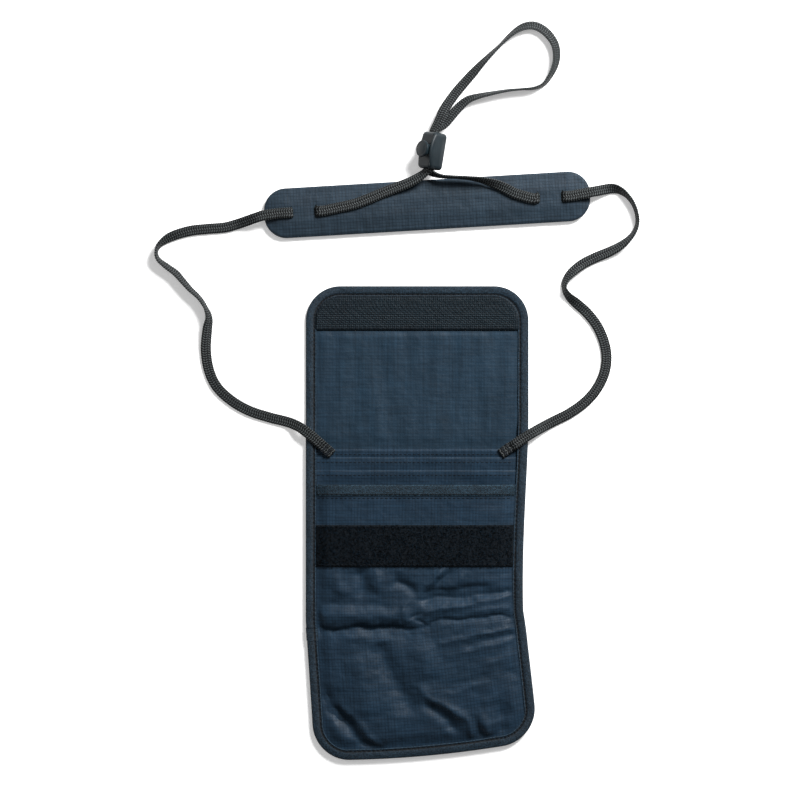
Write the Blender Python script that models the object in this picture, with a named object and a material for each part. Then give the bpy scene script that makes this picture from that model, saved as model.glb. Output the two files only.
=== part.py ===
"""Neck pouch wallet: a flat ripstop pouch that folds shut under a hook-and-loop flap.

It lies opened out on its back, with its neck cord, neck pad and cord lock laid out above it.
Units are metres, +Z is up, +X runs across the pouch and +Y towards the neck pad. The origin is
on the underside of the back panel, at the middle of the opened pouch.
"""

import math

import bmesh
import bpy
from mathutils import Euler, Vector

# Outline of the opened pouch, body and flap together
HALF_WIDTH = 0.0707
CENTRE_X = -0.0005
BOTTOM_Y = -0.1503
TOP_Y = 0.1504
FOLD_Y = 0.0590
FOLD_GAP = 0.00015
CORNER_RADIUS = 0.0220
CORNER_STEPS = 5
TIP_STEPS = 6
LEVEL_STEP = 0.0125

# How the cloth lies: the waist, and the lower half swung a little to the right below a crease
WAIST = 0.0036
WAIST_Y = -0.0400
WAIST_REACH = 0.1100
SWING_Y = -0.0620
SWING = 0.065
DRAW_UP = 0.75
DRAW_UP_FROM_X = -0.0600
CREASE_TOP_Y = -0.0400
CREASE_BOTTOM_Y = -0.0850

# Binding: a folded tape around every edge, with the layers in its fold
BINDING_WIDTH = 0.0067
TAPE = 0.0005
BODY_BINDING_HEIGHT = 0.0036
FLAP_BINDING_HEIGHT = 0.00195
LAYER_INSET = 0.00065
INSIDE_BINDING = 0.0070
BINDING_ROUND = 0.0009

# Layers, as lower and upper heights
FLANGE = (0.00065, 0.0009)
LINING = (0.00105, 0.0013)
REAR_CARD_POCKET = (0.00145, 0.0017)
MIDDLE_CARD_POCKET = (0.00185, 0.0021)
FRONT_CARD_POCKET = (0.00225, 0.0025)
HOOK_STRIP = (0.00145, 0.0022)

# Top edges of the pockets, and the two fastener strips
REAR_CARD_Y = 0.0470
MIDDLE_CARD_Y = 0.0419
FRONT_CARD_Y = 0.0337
FRONT_POCKET_Y = 0.0244
HEM_BOTTOM_Y = 0.0165
LOOP_TOP_Y = -0.0010
LOOP_BOTTOM_Y = -0.0275
HOOK_BOTTOM_Y = 0.1222

# Front pocket: how its cloth rises away from the binding, as distance from the edge and height
POCKET_RISE = (
    (LAYER_INSET, 0.00275),
    (0.0069, 0.00275),
    (0.0100, 0.0037),
    (0.0140, 0.0054),
    (0.0175, 0.0067),
    (0.0210, 0.0074),
)
CLOTH = 0.0003
PLY_GAP = 0.00015
HEM_THICKNESS = 0.0004
LOOP_THICKNESS = 0.00135

# Hinge line of the flap
FLAP_AXIS_Z = 0.0059

# Neck pad
PAD_LENGTH = 0.2070
PAD_WIDTH = 0.0316
PAD_RADIUS = 0.0140
PAD_CENTRE = (0.0058, 0.2019)
PAD_TURN = math.radians(3.4)
PAD_BOTTOM_FABRIC = (0.0019, 0.0022)
PAD_FOAM = (0.00235, 0.0050)
PAD_TOP_FABRIC = (0.00515, 0.00545)
SLIT_OFFSETS = (-0.0851, -0.0713, 0.0713, 0.0851)
SLIT_HEIGHT = 0.0084
SLIT_OPEN = 0.0052

# Flat cord
CORD_WIDTH = 0.0067
CORD_THICKNESS = 0.0015
CORD_STEP = 0.0085
ON_FLOOR = 0.0
ON_BINDING = 0.00375
ON_PAD = 0.0056
UNDER_PAD = 0.00015
TAB_LENGTH = 0.0080
TAB_BOTTOM = 0.0028
TAB_SPREAD = 0.0012
TAB_CENTRES = {"left": (-0.0574, 0.0464), "right": (0.0557, 0.0462)}
TAB_ANGLES = {"left": math.radians(138.0), "right": math.radians(36.0)}

# Cord lock: in its own frame the cord runs along Y and the plunger along Z
LOCK_CENTRE = Vector((0.0092, 0.2356, 0.00775))
LOCK_TILT = math.radians(-48.0)
LOCK_LEAN = math.radians(-9.3)
LOCK_WIDTH = 0.0130
LOCK_LENGTH = 0.0235
LOCK_HEIGHT = 0.0115
LOCK_ROUND = 0.0025
CHANNEL_WIDTH = 0.0077
CHANNEL_BOTTOM = -0.00055
CHANNEL_TOP = 0.00295
PLUNGER_WIDTH = 0.0094
PLUNGER_DEPTH = 0.0064
BORE_CLEARANCE = 0.0002
BORE_FLOOR = -0.0049
PLUNGER_TRAVEL = 0.0020
PLUNGER_FOOT = 0.0009
SLOT_WIDTH = 0.0078
BUTTON_RADIUS = 0.00525
BUTTON_THICKNESS = 0.0019
BUTTON_GAP = 0.0002
SPRING_RADIUS = 0.0021
SPRING_WIRE = 0.00022
SPRING_TURNS = 3.0
SPRING_BOTTOM = -0.00465
SPRING_TOP = -0.00170
STRAND_HEIGHTS = {"upper": 0.00203, "lower": 0.00037}

# Colours, linear RGB
NAVY = (0.024, 0.036, 0.058)
NAVY_LINING = (0.022, 0.032, 0.050)
NAVY_BINDING = (0.030, 0.042, 0.060)
BLACK_LOOP = (0.006, 0.008, 0.012)
DARK_HOOK = (0.012, 0.020, 0.030)
BLACK_CORD = (0.012, 0.014, 0.016)
FOAM_GREY = (0.050, 0.055, 0.060)
LOCK_GREY = (0.032, 0.042, 0.050)
SPRING_STEEL = (0.55, 0.56, 0.58)


def clear_scene():
    for item in list(bpy.data.objects):
        bpy.data.objects.remove(item)


def material(name, colour, roughness, metallic=0.0):
    made = bpy.data.materials.new(name)
    made.use_nodes = True
    shader = made.node_tree.nodes["Principled BSDF"]
    shader.inputs["Base Color"].default_value = (*colour, 1.0)
    shader.inputs["Roughness"].default_value = roughness
    shader.inputs["Metallic"].default_value = metallic
    made.diffuse_color = (*colour, 1.0)
    return made


def add_object(name, data, colour, roughness, metallic=0.0):
    data.materials.append(material(name, colour, roughness, metallic))
    item = bpy.data.objects.new(name, data)
    bpy.context.collection.objects.link(item)
    return item


def mesh_from(name, points, faces):
    mesh = bpy.data.meshes.new(name)
    mesh.from_pydata([tuple(point) for point in points], [], faces)
    work = bmesh.new()
    work.from_mesh(mesh)
    bmesh.ops.recalc_face_normals(work, faces=work.faces)
    work.to_mesh(mesh)
    work.free()
    return mesh


def smoothstep(start, end, value):
    share = min(1.0, max(0.0, (value - start) / (end - start)))
    return share * share * (3.0 - 2.0 * share)


def lay(x, y):
    """Where a point of the cut pattern comes to lie: a drawn-in waist and a swung lower half."""
    across = (x + HALF_WIDTH) / (2.0 * HALF_WIDTH)
    reach = (y - WAIST_Y) / WAIST_REACH
    waist = WAIST * max(0.0, 1.0 - reach * reach) ** 2
    swing = SWING * max(0.0, SWING_Y - y)
    drawn = DRAW_UP * max(0.0, x - DRAW_UP_FROM_X) ** 2
    below_crease = smoothstep(CREASE_TOP_Y, CREASE_BOTTOM_Y, y)
    return CENTRE_X + x - waist * across + swing, y + drawn * below_crease


def levels_between(start_y, end_y):
    """Heights shared by every layer, so that their edges bend at the same places."""
    low, high = sorted((start_y, end_y))
    first = math.ceil((low + 0.002) / LEVEL_STEP)
    last = math.floor((high - 0.002) / LEVEL_STEP)
    inner = [k * LEVEL_STEP for k in range(first, last + 1)]
    return [start_y, *(inner if end_y > start_y else reversed(inner))]


def u_path(open_y, tip_y, inset):
    """A U from the open end, round the rounded tip and back, a given distance inside the edge."""
    towards_tip = 1.0 if tip_y > open_y else -1.0
    corner_y = tip_y - towards_tip * CORNER_RADIUS
    radius = CORNER_RADIUS - inset
    corner_x = HALF_WIDTH - CORNER_RADIUS
    side = [(-(HALF_WIDTH - inset), y) for y in levels_between(open_y, corner_y)]
    for k in range(CORNER_STEPS + 1):
        angle = 0.5 * math.pi * k / CORNER_STEPS
        y = corner_y + towards_tip * radius * math.sin(angle)
        side.append((-corner_x - radius * math.cos(angle), y))
    tip = [(corner_x * (2.0 * k / TIP_STEPS - 1.0), side[-1][1]) for k in range(1, TIP_STEPS)]
    other_side = [(-x, y) for x, y in reversed(side)]
    return [lay(x, y) for x, y in (*side, *tip, *other_side)]


def ring_sheet(name, open_y, tip_y, rings, colour, roughness):
    """A U-shaped cloth layer. Each ring is (inset, lower height, upper height)."""
    paths = [u_path(open_y, tip_y, inset) for inset, _, _ in rings]
    count = len(paths[0])
    points = []
    for path, (_, low, _) in zip(paths, rings):
        points += [(x, y, low) for x, y in path]
    upper = len(points)
    for path, (_, _, high) in zip(paths, rings):
        points += [(x, y, high) for x, y in path]
    faces = []
    for ring in range(len(rings) - 1):
        here, inner = ring * count, (ring + 1) * count
        for k in range(count - 1):
            quad = (here + k, here + k + 1, inner + k + 1, inner + k)
            faces.append(quad)
            faces.append(tuple(upper + corner for corner in quad))
        for end in (0, count - 1):
            faces.append((here + end, inner + end, upper + inner + end, upper + here + end))
    for k in range(count - 1):
        faces.append((k, k + 1, upper + k + 1, upper + k))
    innermost = (len(rings) - 1) * count
    left, right = innermost, innermost + count - 1
    faces.append((left, right, upper + right, upper + left))
    faces.append(tuple(innermost + k for k in range(count)))
    faces.append(tuple(upper + innermost + k for k in range(count)))
    return add_object(name, mesh_from(name, points, faces), colour, roughness)


def flat_sheet(name, open_y, tip_y, heights, inset, colour):
    return ring_sheet(name, open_y, tip_y, [(inset, *heights)], colour, 0.75)


def backed_sheet(name, open_y, tip_y, colour):
    """An outer panel: full thickness inside the binding, and a thin flange within it."""
    rings = (
        (LAYER_INSET, *FLANGE),
        (BINDING_WIDTH + 0.0001, *FLANGE),
        (BINDING_WIDTH + 0.0005, 0.0, FLANGE[1]),
    )
    return ring_sheet(name, open_y, tip_y, rings, colour, 0.7)


def swept_binding(name, open_y, tip_y, height):
    """The tape's C-shaped section, swept along the edge."""
    high_round = height - BINDING_ROUND * 0.3
    profile = (
        (0.0, BINDING_ROUND),
        (BINDING_ROUND * 0.3, BINDING_ROUND * 0.3),
        (BINDING_ROUND, 0.0),
        (BINDING_WIDTH, 0.0),
        (BINDING_WIDTH, TAPE),
        (TAPE, TAPE),
        (TAPE, height - TAPE),
        (BINDING_WIDTH, height - TAPE),
        (BINDING_WIDTH, height),
        (BINDING_ROUND, height),
        (BINDING_ROUND * 0.3, high_round),
        (0.0, height - BINDING_ROUND),
    )
    paths = [u_path(open_y, tip_y, inset) for inset, _ in profile]
    count = len(paths[0])
    size = len(profile)
    points = [
        (*paths[corner][k], profile[corner][1]) for k in range(count) for corner in range(size)
    ]
    faces = []
    for k in range(count - 1):
        for corner in range(size):
            after = (corner + 1) % size
            start, end = k * size, (k + 1) * size
            faces.append((start + corner, start + after, end + after, end + corner))
    faces.append(tuple(range(size)))
    faces.append(tuple((count - 1) * size + corner for corner in range(size)))
    return add_object(name, mesh_from(name, points, faces), NAVY_BINDING, 0.6)


def pocket_height(inset):
    """Height of the front pocket's underside at a distance from the edge."""
    for (near, low), (far, high) in zip(POCKET_RISE, POCKET_RISE[1:]):
        if inset <= far:
            return low + (high - low) * (inset - near) / (far - near)
    return POCKET_RISE[-1][1]


def cross_band(name, top_y, bottom_y, thickness, colour, roughness):
    """A strip across the front pocket, lying on its rounded surface."""
    first_inset = INSIDE_BINDING + CLOTH
    insets = [first_inset, *(inset for inset, _ in POCKET_RISE if inset > first_inset)]
    side = [(HALF_WIDTH - inset, pocket_height(inset)) for inset in insets]
    columns = [(-x, z) for x, z in side] + [(x, z) for x, z in reversed(side)]
    rows = [*levels_between(top_y, bottom_y), bottom_y]
    low = CLOTH + PLY_GAP
    points = []
    for offset in (low, low + thickness):
        for y in rows:
            points += [(*lay(x, y), z + offset) for x, z in columns]
    wide, layer = len(columns), len(columns) * len(rows)
    faces = []
    for row in range(len(rows) - 1):
        for column in range(wide - 1):
            corner = row * wide + column
            quad = (corner, corner + 1, corner + wide + 1, corner + wide)
            faces.append(quad)
            faces.append(tuple(layer + k for k in quad))
    rim = [*range(wide), *(row * wide + wide - 1 for row in range(1, len(rows)))]
    rim += [layer - 1 - k for k in range(1, wide)]
    rim += [row * wide for row in range(len(rows) - 2, 0, -1)]
    for here, after in zip(rim, rim[1:] + rim[:1]):
        faces.append((here, after, layer + after, layer + here))
    return add_object(name, mesh_from(name, points, faces), colour, roughness)


def rounded_outline(length, width, radius, steps):
    """Corners of a rectangle with quarter-round corners, centred on the origin."""
    outline = []
    for quarter in range(4):
        side_x = 1.0 if quarter in (0, 3) else -1.0
        side_y = 1.0 if quarter < 2 else -1.0
        for k in range(steps + 1):
            angle = 0.5 * math.pi * (quarter + k / steps)
            x = side_x * (0.5 * length - radius) + radius * math.cos(angle)
            y = side_y * (0.5 * width - radius) + radius * math.sin(angle)
            outline.append((x, y))
    return outline


def prism(name, outline, low, high):
    """A mesh with this outline, from the height low to the height high."""
    count = len(outline)
    points = [(x, y, low) for x, y in outline] + [(x, y, high) for x, y in outline]
    faces = [tuple(range(count)), tuple(range(count, 2 * count))]
    faces += [(k, (k + 1) % count, count + (k + 1) % count, count + k) for k in range(count)]
    return mesh_from(name, points, faces)


def cutter(name, mesh):
    item = bpy.data.objects.new(name, mesh)
    bpy.context.collection.objects.link(item)
    item.hide_render = True
    item.display_type = "WIRE"
    return item


def boolean(target, other, operation):
    modifier = target.modifiers.new(f"{operation} {other.name}", "BOOLEAN")
    modifier.operation = operation
    modifier.solver = "EXACT"
    modifier.object = other


def make_pouch_body():
    open_y = FOLD_Y - FOLD_GAP
    backed_sheet("back_panel", open_y, BOTTOM_Y, NAVY)
    flat_sheet("back_lining", open_y, BOTTOM_Y, LINING, LAYER_INSET, NAVY_LINING)
    card_pockets = (
        ("card_pocket_rear", REAR_CARD_Y, REAR_CARD_POCKET),
        ("card_pocket_middle", MIDDLE_CARD_Y, MIDDLE_CARD_POCKET),
        ("card_pocket_front", FRONT_CARD_Y, FRONT_CARD_POCKET),
    )
    for name, top_y, heights in card_pockets:
        flat_sheet(name, top_y, BOTTOM_Y, heights, LAYER_INSET, NAVY)
    rings = [(inset, height, height + CLOTH) for inset, height in POCKET_RISE]
    ring_sheet("front_pocket", FRONT_POCKET_Y, BOTTOM_Y, rings, NAVY, 0.65)
    cross_band("front_pocket_hem", FRONT_POCKET_Y, HEM_BOTTOM_Y, HEM_THICKNESS, NAVY_BINDING, 0.8)
    cross_band("loop_strip", LOOP_TOP_Y, LOOP_BOTTOM_Y, LOOP_THICKNESS, BLACK_LOOP, 0.95)
    swept_binding("body_binding", open_y, BOTTOM_Y, BODY_BINDING_HEIGHT)


def make_flap(pivot):
    open_y = FOLD_Y + FOLD_GAP
    pieces = [
        backed_sheet("flap_outer", open_y, TOP_Y, NAVY),
        flat_sheet("flap_lining", open_y, TOP_Y, LINING, LAYER_INSET, NAVY_LINING),
        flat_sheet("hook_strip", HOOK_BOTTOM_Y, TOP_Y, HOOK_STRIP, INSIDE_BINDING, DARK_HOOK),
        swept_binding("flap_binding", open_y, TOP_Y, FLAP_BINDING_HEIGHT),
    ]
    for piece in pieces:
        hang_on(piece, pivot)


def pivot_at(name, place, rotation=(0.0, 0.0, 0.0)):
    """An empty on a joint's axis, which carries the moving pieces."""
    item = bpy.data.objects.new(name, None)
    item.location = place
    item.rotation_euler = rotation
    bpy.context.collection.objects.link(item)
    return item


def hang_on(piece, pivot):
    """Parent a piece to its pivot without moving it."""
    piece.parent = pivot
    piece.matrix_parent_inverse = pivot.matrix_basis.inverted()


def make_neck_pad():
    pivot = pivot_at("neck_pad_pivot", (*PAD_CENTRE, 0.0), (0.0, 0.0, PAD_TURN))
    outline = rounded_outline(PAD_LENGTH, PAD_WIDTH, PAD_RADIUS, 5)
    slit = [(-0.5, -0.5), (0.5, -0.5), (0.5, 0.5), (-0.5, 0.5)]
    slits = []
    for number, offset in enumerate(SLIT_OFFSETS, 1):
        corners = [(offset + SLIT_OPEN * x, SLIT_HEIGHT * y) for x, y in slit]
        item = cutter(f"slit_cutter_{number}", prism("slit", corners, 0.0, 0.008))
        item.parent = pivot
        slits.append(item)
    layers = (
        ("pad_bottom_fabric", PAD_BOTTOM_FABRIC, NAVY),
        ("pad_foam", PAD_FOAM, FOAM_GREY),
        ("pad_top_fabric", PAD_TOP_FABRIC, NAVY),
    )
    for name, heights, colour in layers:
        item = add_object(name, prism(name, outline, *heights), colour, 0.7)
        item.parent = pivot
        for slit_cutter in slits:
            boolean(item, slit_cutter, "DIFFERENCE")


def catmull_rom(before, start, end, after, share):
    square, cube = share * share, share * share * share
    return 0.5 * (
        2.0 * start
        + (end - before) * share
        + (2.0 * before - 5.0 * start + 4.0 * end - after) * square
        + (3.0 * start - before - 3.0 * end + after) * cube
    )


def smooth_route(route):
    """Points read from a smooth curve through the route, as (place, roll)."""
    ends = [Vector(place) for place, _ in route]
    rolls = [roll for _, roll in route]
    padded = [2.0 * ends[0] - ends[1], *ends, 2.0 * ends[-1] - ends[-2]]
    found = []
    for k in range(len(ends) - 1):
        pieces = max(1, round((ends[k + 1] - ends[k]).length / CORD_STEP))
        for step in range(pieces):
            share = step / pieces
            place = catmull_rom(*padded[k : k + 4], share)
            found.append((place, rolls[k] + (rolls[k + 1] - rolls[k]) * share))
    found.append((ends[-1], rolls[-1]))
    return found


def flat_cord(name, route):
    """A flat braid along a route of ((x, y, z), roll).

    At roll 0 it lies flat, and a positive roll raises its left edge, looking along the route.
    """
    curve = bpy.data.curves.new(name, "CURVE")
    curve.dimensions = "3D"
    curve.twist_mode = "Z_UP"
    curve.bevel_depth = 0.5 * CORD_THICKNESS
    curve.extrude = 0.5 * (CORD_WIDTH - CORD_THICKNESS)
    curve.bevel_resolution = 1
    curve.use_fill_caps = True
    found = smooth_route(route)
    spline = curve.splines.new("POLY")
    spline.points.add(len(found) - 1)
    for point, (place, roll) in zip(spline.points, found):
        point.co = (*place, 1.0)
        point.tilt = math.radians(90.0 + roll)
    return add_object(name, curve, BLACK_CORD, 0.8)


def lying(x, y, resting_on, roll=0.0):
    """A route point where the braid rests on something at the height resting_on."""
    turned = abs(math.sin(math.radians(roll)))
    half = 0.5 * CORD_THICKNESS + 0.5 * (CORD_WIDTH - CORD_THICKNESS) * turned
    return (x, y, resting_on + half), roll


def on_pad(along, resting_on, roll=0.0):
    """A route point on the pad's own centreline."""
    x = PAD_CENTRE[0] + along * math.cos(PAD_TURN)
    y = PAD_CENTRE[1] + along * math.sin(PAD_TURN)
    return lying(x, y, resting_on, roll)


def through_slit(offset, downwards, roll=0.0):
    """The steep stretch where the braid passes a slit, towards +X."""
    heights = (ON_PAD, 0.5 * (ON_PAD + UNDER_PAD), UNDER_PAD)
    stations = (-0.0019, 0.0, 0.0019)
    ordered = heights if downwards else reversed(heights)
    return [on_pad(offset + station, height, roll) for station, height in zip(stations, ordered)]


def in_lock(along, strand, roll):
    """A route point inside or close to the cord lock, on one of its two strands."""
    local = Vector((0.0, along, STRAND_HEIGHTS[strand]))
    return tuple(LOCK_CENTRE + Euler((0.0, LOCK_TILT, LOCK_LEAN)).to_matrix() @ local), roll


def left_cord_route():
    return [
        lying(-0.0606, 0.0492, TAB_BOTTOM),
        lying(-0.0625, 0.0509, ON_BINDING),
        lying(-0.0668, 0.0547, ON_BINDING),
        lying(-0.0738, 0.0601, ON_BINDING),
        lying(-0.0780, 0.0624, 0.0018),
        lying(-0.0825, 0.0641, 0.0004),
        lying(-0.0880, 0.0655, ON_FLOOR),
        lying(-0.0940, 0.0670, ON_FLOOR),
        lying(-0.1067, 0.0711, ON_FLOOR),
        lying(-0.1181, 0.0775, ON_FLOOR),
        lying(-0.1276, 0.0864, ON_FLOOR),
        lying(-0.1327, 0.0972, ON_FLOOR),
        lying(-0.1346, 0.1099, ON_FLOOR, 5.0),
        lying(-0.1337, 0.1226, ON_FLOOR, 25.0),
        lying(-0.1326, 0.1302, ON_FLOOR, 55.0),
        lying(-0.1346, 0.1366, ON_FLOOR, 75.0),
        lying(-0.1388, 0.1430, ON_FLOOR, 72.0),
        lying(-0.1445, 0.1484, ON_FLOOR, 65.0),
        lying(-0.1492, 0.1537, ON_FLOOR, 60.0),
        lying(-0.1536, 0.1586, ON_FLOOR, 55.0),
        lying(-0.1595, 0.1630, ON_FLOOR, 60.0),
        lying(-0.1645, 0.1672, ON_FLOOR, 72.0),
        lying(-0.1659, 0.1722, ON_FLOOR, 84.0),
        lying(-0.1632, 0.1773, ON_FLOOR, 64.0),
        lying(-0.1562, 0.1819, ON_FLOOR, 26.0),
        lying(-0.1448, 0.1854, ON_FLOOR, 6.0),
        lying(-0.1334, 0.1867, ON_FLOOR),
        lying(-0.1226, 0.1876, ON_FLOOR),
        lying(-0.1150, 0.1896, 0.0004),
        lying(-0.1085, 0.1916, 0.0030),
        lying(-0.1030, 0.1934, 0.0052),
        lying(-0.0975, 0.1950, ON_PAD),
        on_pad(-0.0940, ON_PAD),
        *through_slit(SLIT_OFFSETS[0], True),
        on_pad(-0.0785, UNDER_PAD),
    ]


def middle_cord_route():
    half_turned = -180.0
    return [
        on_pad(-0.0779, UNDER_PAD),
        *through_slit(SLIT_OFFSETS[1], False),
        on_pad(-0.0650, ON_PAD),
        lying(-0.0500, 0.2000, ON_PAD),
        lying(-0.0402, 0.2022, ON_PAD),
        lying(-0.0310, 0.2056, ON_PAD),
        lying(-0.0222, 0.2093, ON_PAD),
        lying(-0.0140, 0.2125, ON_PAD, -4.0),
        lying(-0.0068, 0.2152, 0.0059, -12.0),
        lying(-0.0008, 0.2182, 0.0062, -24.0),
        lying(0.0034, 0.2210, 0.0062, -38.0),
        in_lock(-0.0128, "upper", -48.0),
        in_lock(-0.0105, "upper", -48.0),
        in_lock(0.0105, "upper", -48.0),
        in_lock(0.0128, "upper", -48.0),
        lying(0.0128, 0.2534, 0.0064, -26.0),
        lying(0.0160, 0.2608, 0.0048, -14.0),
        lying(0.0205, 0.2680, 0.0026, -14.0),
        lying(0.0254, 0.2746, 0.0010, -18.0),
        lying(0.0340, 0.2845, 0.0002, -30.0),
        lying(0.0425, 0.2937, ON_FLOOR, -58.0),
        lying(0.0521, 0.3032, ON_FLOOR, -78.0),
        lying(0.0600, 0.3107, ON_FLOOR, -64.0),
        lying(0.0673, 0.3150, ON_FLOOR, -42.0),
        lying(0.0745, 0.3154, ON_FLOOR, -30.0),
        lying(0.0815, 0.3113, ON_FLOOR, -30.0),
        lying(0.0866, 0.3043, ON_FLOOR, -38.0),
        lying(0.0880, 0.2965, ON_FLOOR, -46.0),
        lying(0.0867, 0.2896, ON_FLOOR, -56.0),
        lying(0.0834, 0.2830, ON_FLOOR, -68.0),
        lying(0.0793, 0.2780, ON_FLOOR, -78.0),
        lying(0.0732, 0.2757, ON_FLOOR, -86.0),
        lying(0.0660, 0.2752, ON_FLOOR, -94.0),
        lying(0.0570, 0.2744, ON_FLOOR, -102.0),
        lying(0.0475, 0.2727, ON_FLOOR, -110.0),
        lying(0.0385, 0.2708, ON_FLOOR, -122.0),
        lying(0.0318, 0.2686, ON_FLOOR, -138.0),
        lying(0.0268, 0.2646, 0.0006, -152.0),
        lying(0.0220, 0.2592, 0.0022, -158.0),
        lying(0.0172, 0.2532, 0.0038, -150.0),
        in_lock(0.0128, "lower", -132.0),
        in_lock(0.0105, "lower", -132.0),
        in_lock(-0.0105, "lower", -132.0),
        in_lock(-0.0128, "lower", -132.0),
        lying(0.0104, 0.2209, 0.0048, -114.0),
        lying(0.0160, 0.2194, 0.0057, -100.0),
        lying(0.0240, 0.2190, 0.0058, -96.0),
        lying(0.0330, 0.2183, ON_PAD, -102.0),
        lying(0.0410, 0.2170, ON_PAD, -120.0),
        lying(0.0490, 0.2146, ON_PAD, -150.0),
        lying(0.0560, 0.2117, ON_PAD, -172.0),
        lying(0.0620, 0.2087, ON_PAD, half_turned),
        on_pad(0.0665, ON_PAD, half_turned),
        *through_slit(SLIT_OFFSETS[2], True, half_turned),
        on_pad(0.0779, UNDER_PAD, half_turned),
    ]


def right_cord_route():
    return [
        on_pad(0.0785, UNDER_PAD),
        *through_slit(SLIT_OFFSETS[3], False),
        on_pad(0.0915, ON_PAD),
        lying(0.1040, 0.2086, ON_PAD),
        lying(0.1100, 0.2098, 0.0054),
        lying(0.1145, 0.2107, 0.0034),
        lying(0.1188, 0.2117, 0.0010, 6.0),
        lying(0.1232, 0.2123, ON_FLOOR, 20.0),
        lying(0.1276, 0.2113, ON_FLOOR, 48.0),
        lying(0.1325, 0.2078, ON_FLOOR, 70.0),
        lying(0.1364, 0.2026, ON_FLOOR, 78.0),
        lying(0.1387, 0.1962, ON_FLOOR, 80.0),
        lying(0.1391, 0.1902, ON_FLOOR, 78.0),
        lying(0.1371, 0.1846, ON_FLOOR, 72.0),
        lying(0.1330, 0.1796, ON_FLOOR, 58.0),
        lying(0.1276, 0.1754, ON_FLOOR, 34.0),
        lying(0.1207, 0.1718, ON_FLOOR, 12.0),
        lying(0.1130, 0.1686, ON_FLOOR),
        lying(0.1048, 0.1645, ON_FLOOR, 4.0),
        lying(0.0979, 0.1592, ON_FLOOR, 26.0),
        lying(0.0936, 0.1537, ON_FLOOR, 58.0),
        lying(0.0928, 0.1489, ON_FLOOR, 72.0),
        lying(0.0955, 0.1440, ON_FLOOR, 50.0),
        lying(0.1005, 0.1395, ON_FLOOR, 18.0),
        lying(0.1073, 0.1334, ON_FLOOR),
        lying(0.1137, 0.1251, ON_FLOOR),
        lying(0.1181, 0.1149, ON_FLOOR),
        lying(0.1197, 0.1048, ON_FLOOR),
        lying(0.1181, 0.0946, ON_FLOOR),
        lying(0.1130, 0.0845, ON_FLOOR),
        lying(0.1054, 0.0762, ON_FLOOR),
        lying(0.0959, 0.0695, ON_FLOOR),
        lying(0.0870, 0.0650, ON_FLOOR),
        lying(0.0812, 0.0620, 0.0005),
        lying(0.0768, 0.0597, 0.0020),
        lying(0.0726, 0.0573, ON_BINDING),
        lying(0.0665, 0.0535, ON_BINDING),
        lying(0.0614, 0.0500, ON_BINDING),
        lying(0.0593, 0.0486, TAB_BOTTOM),
    ]


def make_cords():
    flat_cord("cord_left", left_cord_route())
    flat_cord("cord_middle", middle_cord_route())
    flat_cord("cord_right", right_cord_route())


def make_cord_tab(side):
    """The cord's end, flattened and tacked down inside the pouch."""
    name = f"cord_tab_{side}"
    outline = rounded_outline(TAB_LENGTH, CORD_WIDTH + TAB_SPREAD, 0.0008, 2)
    item = add_object(name, prism(name, outline, 0.0, CORD_THICKNESS), BLACK_CORD, 0.8)
    item.location = (*TAB_CENTRES[side], TAB_BOTTOM)
    item.rotation_euler = (0.0, 0.0, TAB_ANGLES[side])
    return item


def rounded_block(name, size_x, size_y, size_z, round_by, segments):
    """A box with its edges rounded, centred on the origin."""
    work = bmesh.new()
    bmesh.ops.create_cube(work, size=1.0)
    bmesh.ops.scale(work, vec=(size_x, size_y, size_z), verts=work.verts)
    bmesh.ops.bevel(
        work, geom=work.edges, offset=round_by, segments=segments, profile=0.5, affect="EDGES"
    )
    mesh = bpy.data.meshes.new(name)
    work.to_mesh(mesh)
    work.free()
    return mesh


def make_lock_body(pivot):
    mesh = rounded_block("lock_body", LOCK_WIDTH, LOCK_LENGTH, LOCK_HEIGHT, LOCK_ROUND, 3)
    item = add_object("lock_body", mesh, LOCK_GREY, 0.45)
    item.parent = pivot
    channel_outline = [
        (-0.5 * CHANNEL_WIDTH, -LOCK_LENGTH),
        (0.5 * CHANNEL_WIDTH, -LOCK_LENGTH),
        (0.5 * CHANNEL_WIDTH, LOCK_LENGTH),
        (-0.5 * CHANNEL_WIDTH, LOCK_LENGTH),
    ]
    bore_width = PLUNGER_WIDTH + 2.0 * BORE_CLEARANCE
    bore_depth = PLUNGER_DEPTH + 2.0 * BORE_CLEARANCE
    bore_outline = rounded_outline(bore_width, bore_depth, 0.0012, 3)
    hollows = (
        cutter("channel_cutter", prism("channel", channel_outline, CHANNEL_BOTTOM, CHANNEL_TOP)),
        cutter("bore_cutter", prism("bore", bore_outline, BORE_FLOOR, LOCK_HEIGHT)),
    )
    for hollow in hollows:
        hollow.parent = pivot
        boolean(item, hollow, "DIFFERENCE")


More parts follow.
